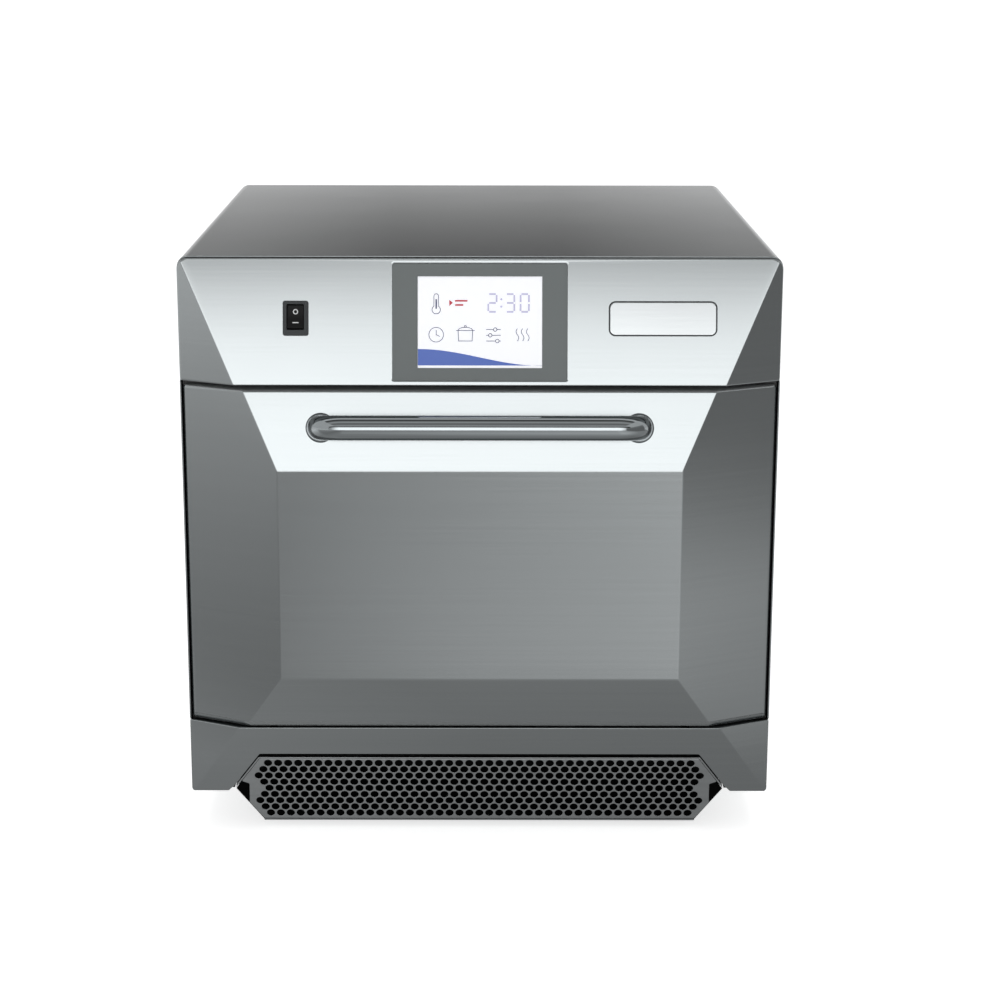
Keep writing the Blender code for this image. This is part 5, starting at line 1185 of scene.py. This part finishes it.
def areaLamp(name, place, target, size, radiance):
    # power of an evenly bright card: radiance times pi times its area
    data = bpy.data.lights.new(name, "AREA")
    data.shape = "RECTANGLE"
    data.size, data.size_y = size
    data.energy = radiance * math.pi * size[0] * size[1]
    lamp = bpy.data.objects.new(name, data)
    lamp.location = place
    lamp.rotation_euler = (Vector(target) - Vector(place)).to_track_quat("-Z", "Y").to_euler()
    lamp.visible_camera = False
    lamp.visible_glossy = False  # the boards stand for it in mirrored rays
    scene.collection.objects.link(lamp)


# boards: each row is one height or distance, each column one place across
plane = shape["plane"]
boardAt = {"front": 3.6, "ceiling": 2.4, "floor": 0.002, "right": 1.7, "rightStart": 2.6,
           "rightDepth": 2.8, "rear": 0.5}
boardX = np.array([-4.0, -3.0, -2.2, -1.6, -1.0, 0.0, 1.0, 1.6, 2.2, 3.0, 4.0])
boardFall = np.interp(np.abs(boardX), (1.0, 1.6, 2.2, 3.0, 4.0), (1.0, 0.8, 0.5, 0.25, 0.18))
boardTilt = np.interp(boardX, (-2.0, 2.0), (1.06, 0.94))
boardRows = [3.4, 3.4, 3.45, 3.72, 2.42, 0.33, 0.3]  # the two dim rows tilt nine times as much
frontValues = [row * boardFall * (1 + (boardTilt - 1) * (9 if row < 1 else 1)) for row in boardRows]
glowCard("front_board", boardX, (0.0, 0.6, 1.2, 1.44, 1.55, 1.66, 2.4), frontValues,
         lambda x, z: (x, plane - boardAt["front"], z))
glowCard("ceiling_board", (-2.0, 2.0),
         (-2.9, -2.4, -1.8, -1.5, -1.1, -0.8, -0.5, -0.1, 0.1, 0.35, 0.6, 0.9, 1.5),
         [[v, v] for v in (0.7, 0.6, 0.4, 0.33, 0.75, 0.85, 0.4, 0.12, 0.12, 1.2, 1.2, 0.7, 0.8)],
         lambda x, y: (x, plane + y, boardAt["ceiling"]))
# the floor board stands for the floor in mirrored rays; its dimmer values under and just before the oven
# are a painted shadow of the oven
glowCard("floor_board", (-3.0, -1.5, -0.6, -0.3, 0.0, 0.4, 0.7, 1.5, 3.0),
         (-3.4, -1.7, -0.6, -0.3, -0.12, 0.3, 0.7),
         [[1.0, 0.7, 0.40, 0.50, 0.65, 0.96, 1.0, 0.8, 0.6],
          [1.0, 0.7, 0.42, 0.54, 0.78, 1.12, 1.1, 0.5, 0.4],
          [0.9, 0.6, 0.42, 0.54, 0.92, 1.20, 1.0, 0.45, 0.4],
          [0.9, 0.6, 0.42, 0.56, 0.62, 0.66, 0.7, 0.5, 0.4],
          [1.2, 1.2, 0.60, 0.58, 0.47, 0.45, 0.6, 0.6, 0.4],
          [1.4, 1.4, 0.80, 0.3, 0.3, 0.3, 0.6, 0.6, 0.5],
          [1.4, 1.4, 0.80, 0.3, 0.3, 0.3, 0.6, 0.6, 0.6]],
         lambda x, y: (x, plane + y, boardAt["floor"]))
glowCard("right_board", (0.0, 1.0), (0.0, 0.2, 0.6, 1.0),
         [[0.34, 0.34], [0.34, 0.34], [0.34, 0.34], [0.5, 0.5]],
         lambda s, z: (boardAt["right"], plane - boardAt["rightStart"] + boardAt["rightDepth"] * s, z))
glowCard("rear_board", (-1.6, -0.35, -0.12, 0.12, 0.35, 1.6), (0.58, 0.64, 0.70, 0.76, 1.0, 1.7),
         [[1.0, 0.85, 0.75, 0.75, 0.9, 1.0],
          [1.0, 0.84, 0.74, 0.74, 0.92, 1.0],
          [0.9, 0.50, 0.33, 0.33, 0.50, 0.9],
          [0.8, 0.22, 0.08, 0.08, 0.22, 0.8],
          [0.7, 0.20, 0.08, 0.08, 0.18, 0.7],
          [0.8, 0.50, 0.30, 0.30, 0.50, 0.8]],
         lambda x, z: (x, shape["rear"] + boardAt["rear"], z))

lamps = {
    "front_softbox": {"place": (-0.2, plane - boardAt["front"], 0.95), "target": (0, plane, 0.5),
                      "size": (3.2, 1.1), "radiance": 3.0},
    "overhead_softbox": {"place": (0.0, 0.0, 2.8), "target": (0, 0, 0),
                         "size": (2.4, 2.4), "radiance": 1.6}}
for name, settings in lamps.items():
    areaLamp(name, **settings)

# the view solved from the photo's straight edges: pitch in degrees, roll in radians
view = {"lens": 83.2, "sensor": 36.0, "shift": 0.0195, "back": 2.2083, "height": 0.9051,
        "pitch": 75.875, "roll": -0.0014}
cameraData = bpy.data.cameras.new("photo_camera")
cameraData.lens = view["lens"]
cameraData.sensor_width = view["sensor"]
cameraData.sensor_fit = "AUTO"
cameraData.shift_x = view["shift"]
camera = bpy.data.objects.new("photo_camera", cameraData)
camera.location = (0.0, plane - view["back"], view["height"])
camera.rotation_euler = (math.radians(view["pitch"]), view["roll"], 0.0)
scene.collection.objects.link(camera)
scene.camera = camera
scene.view_settings.view_transform = "Standard"
print("studio made")
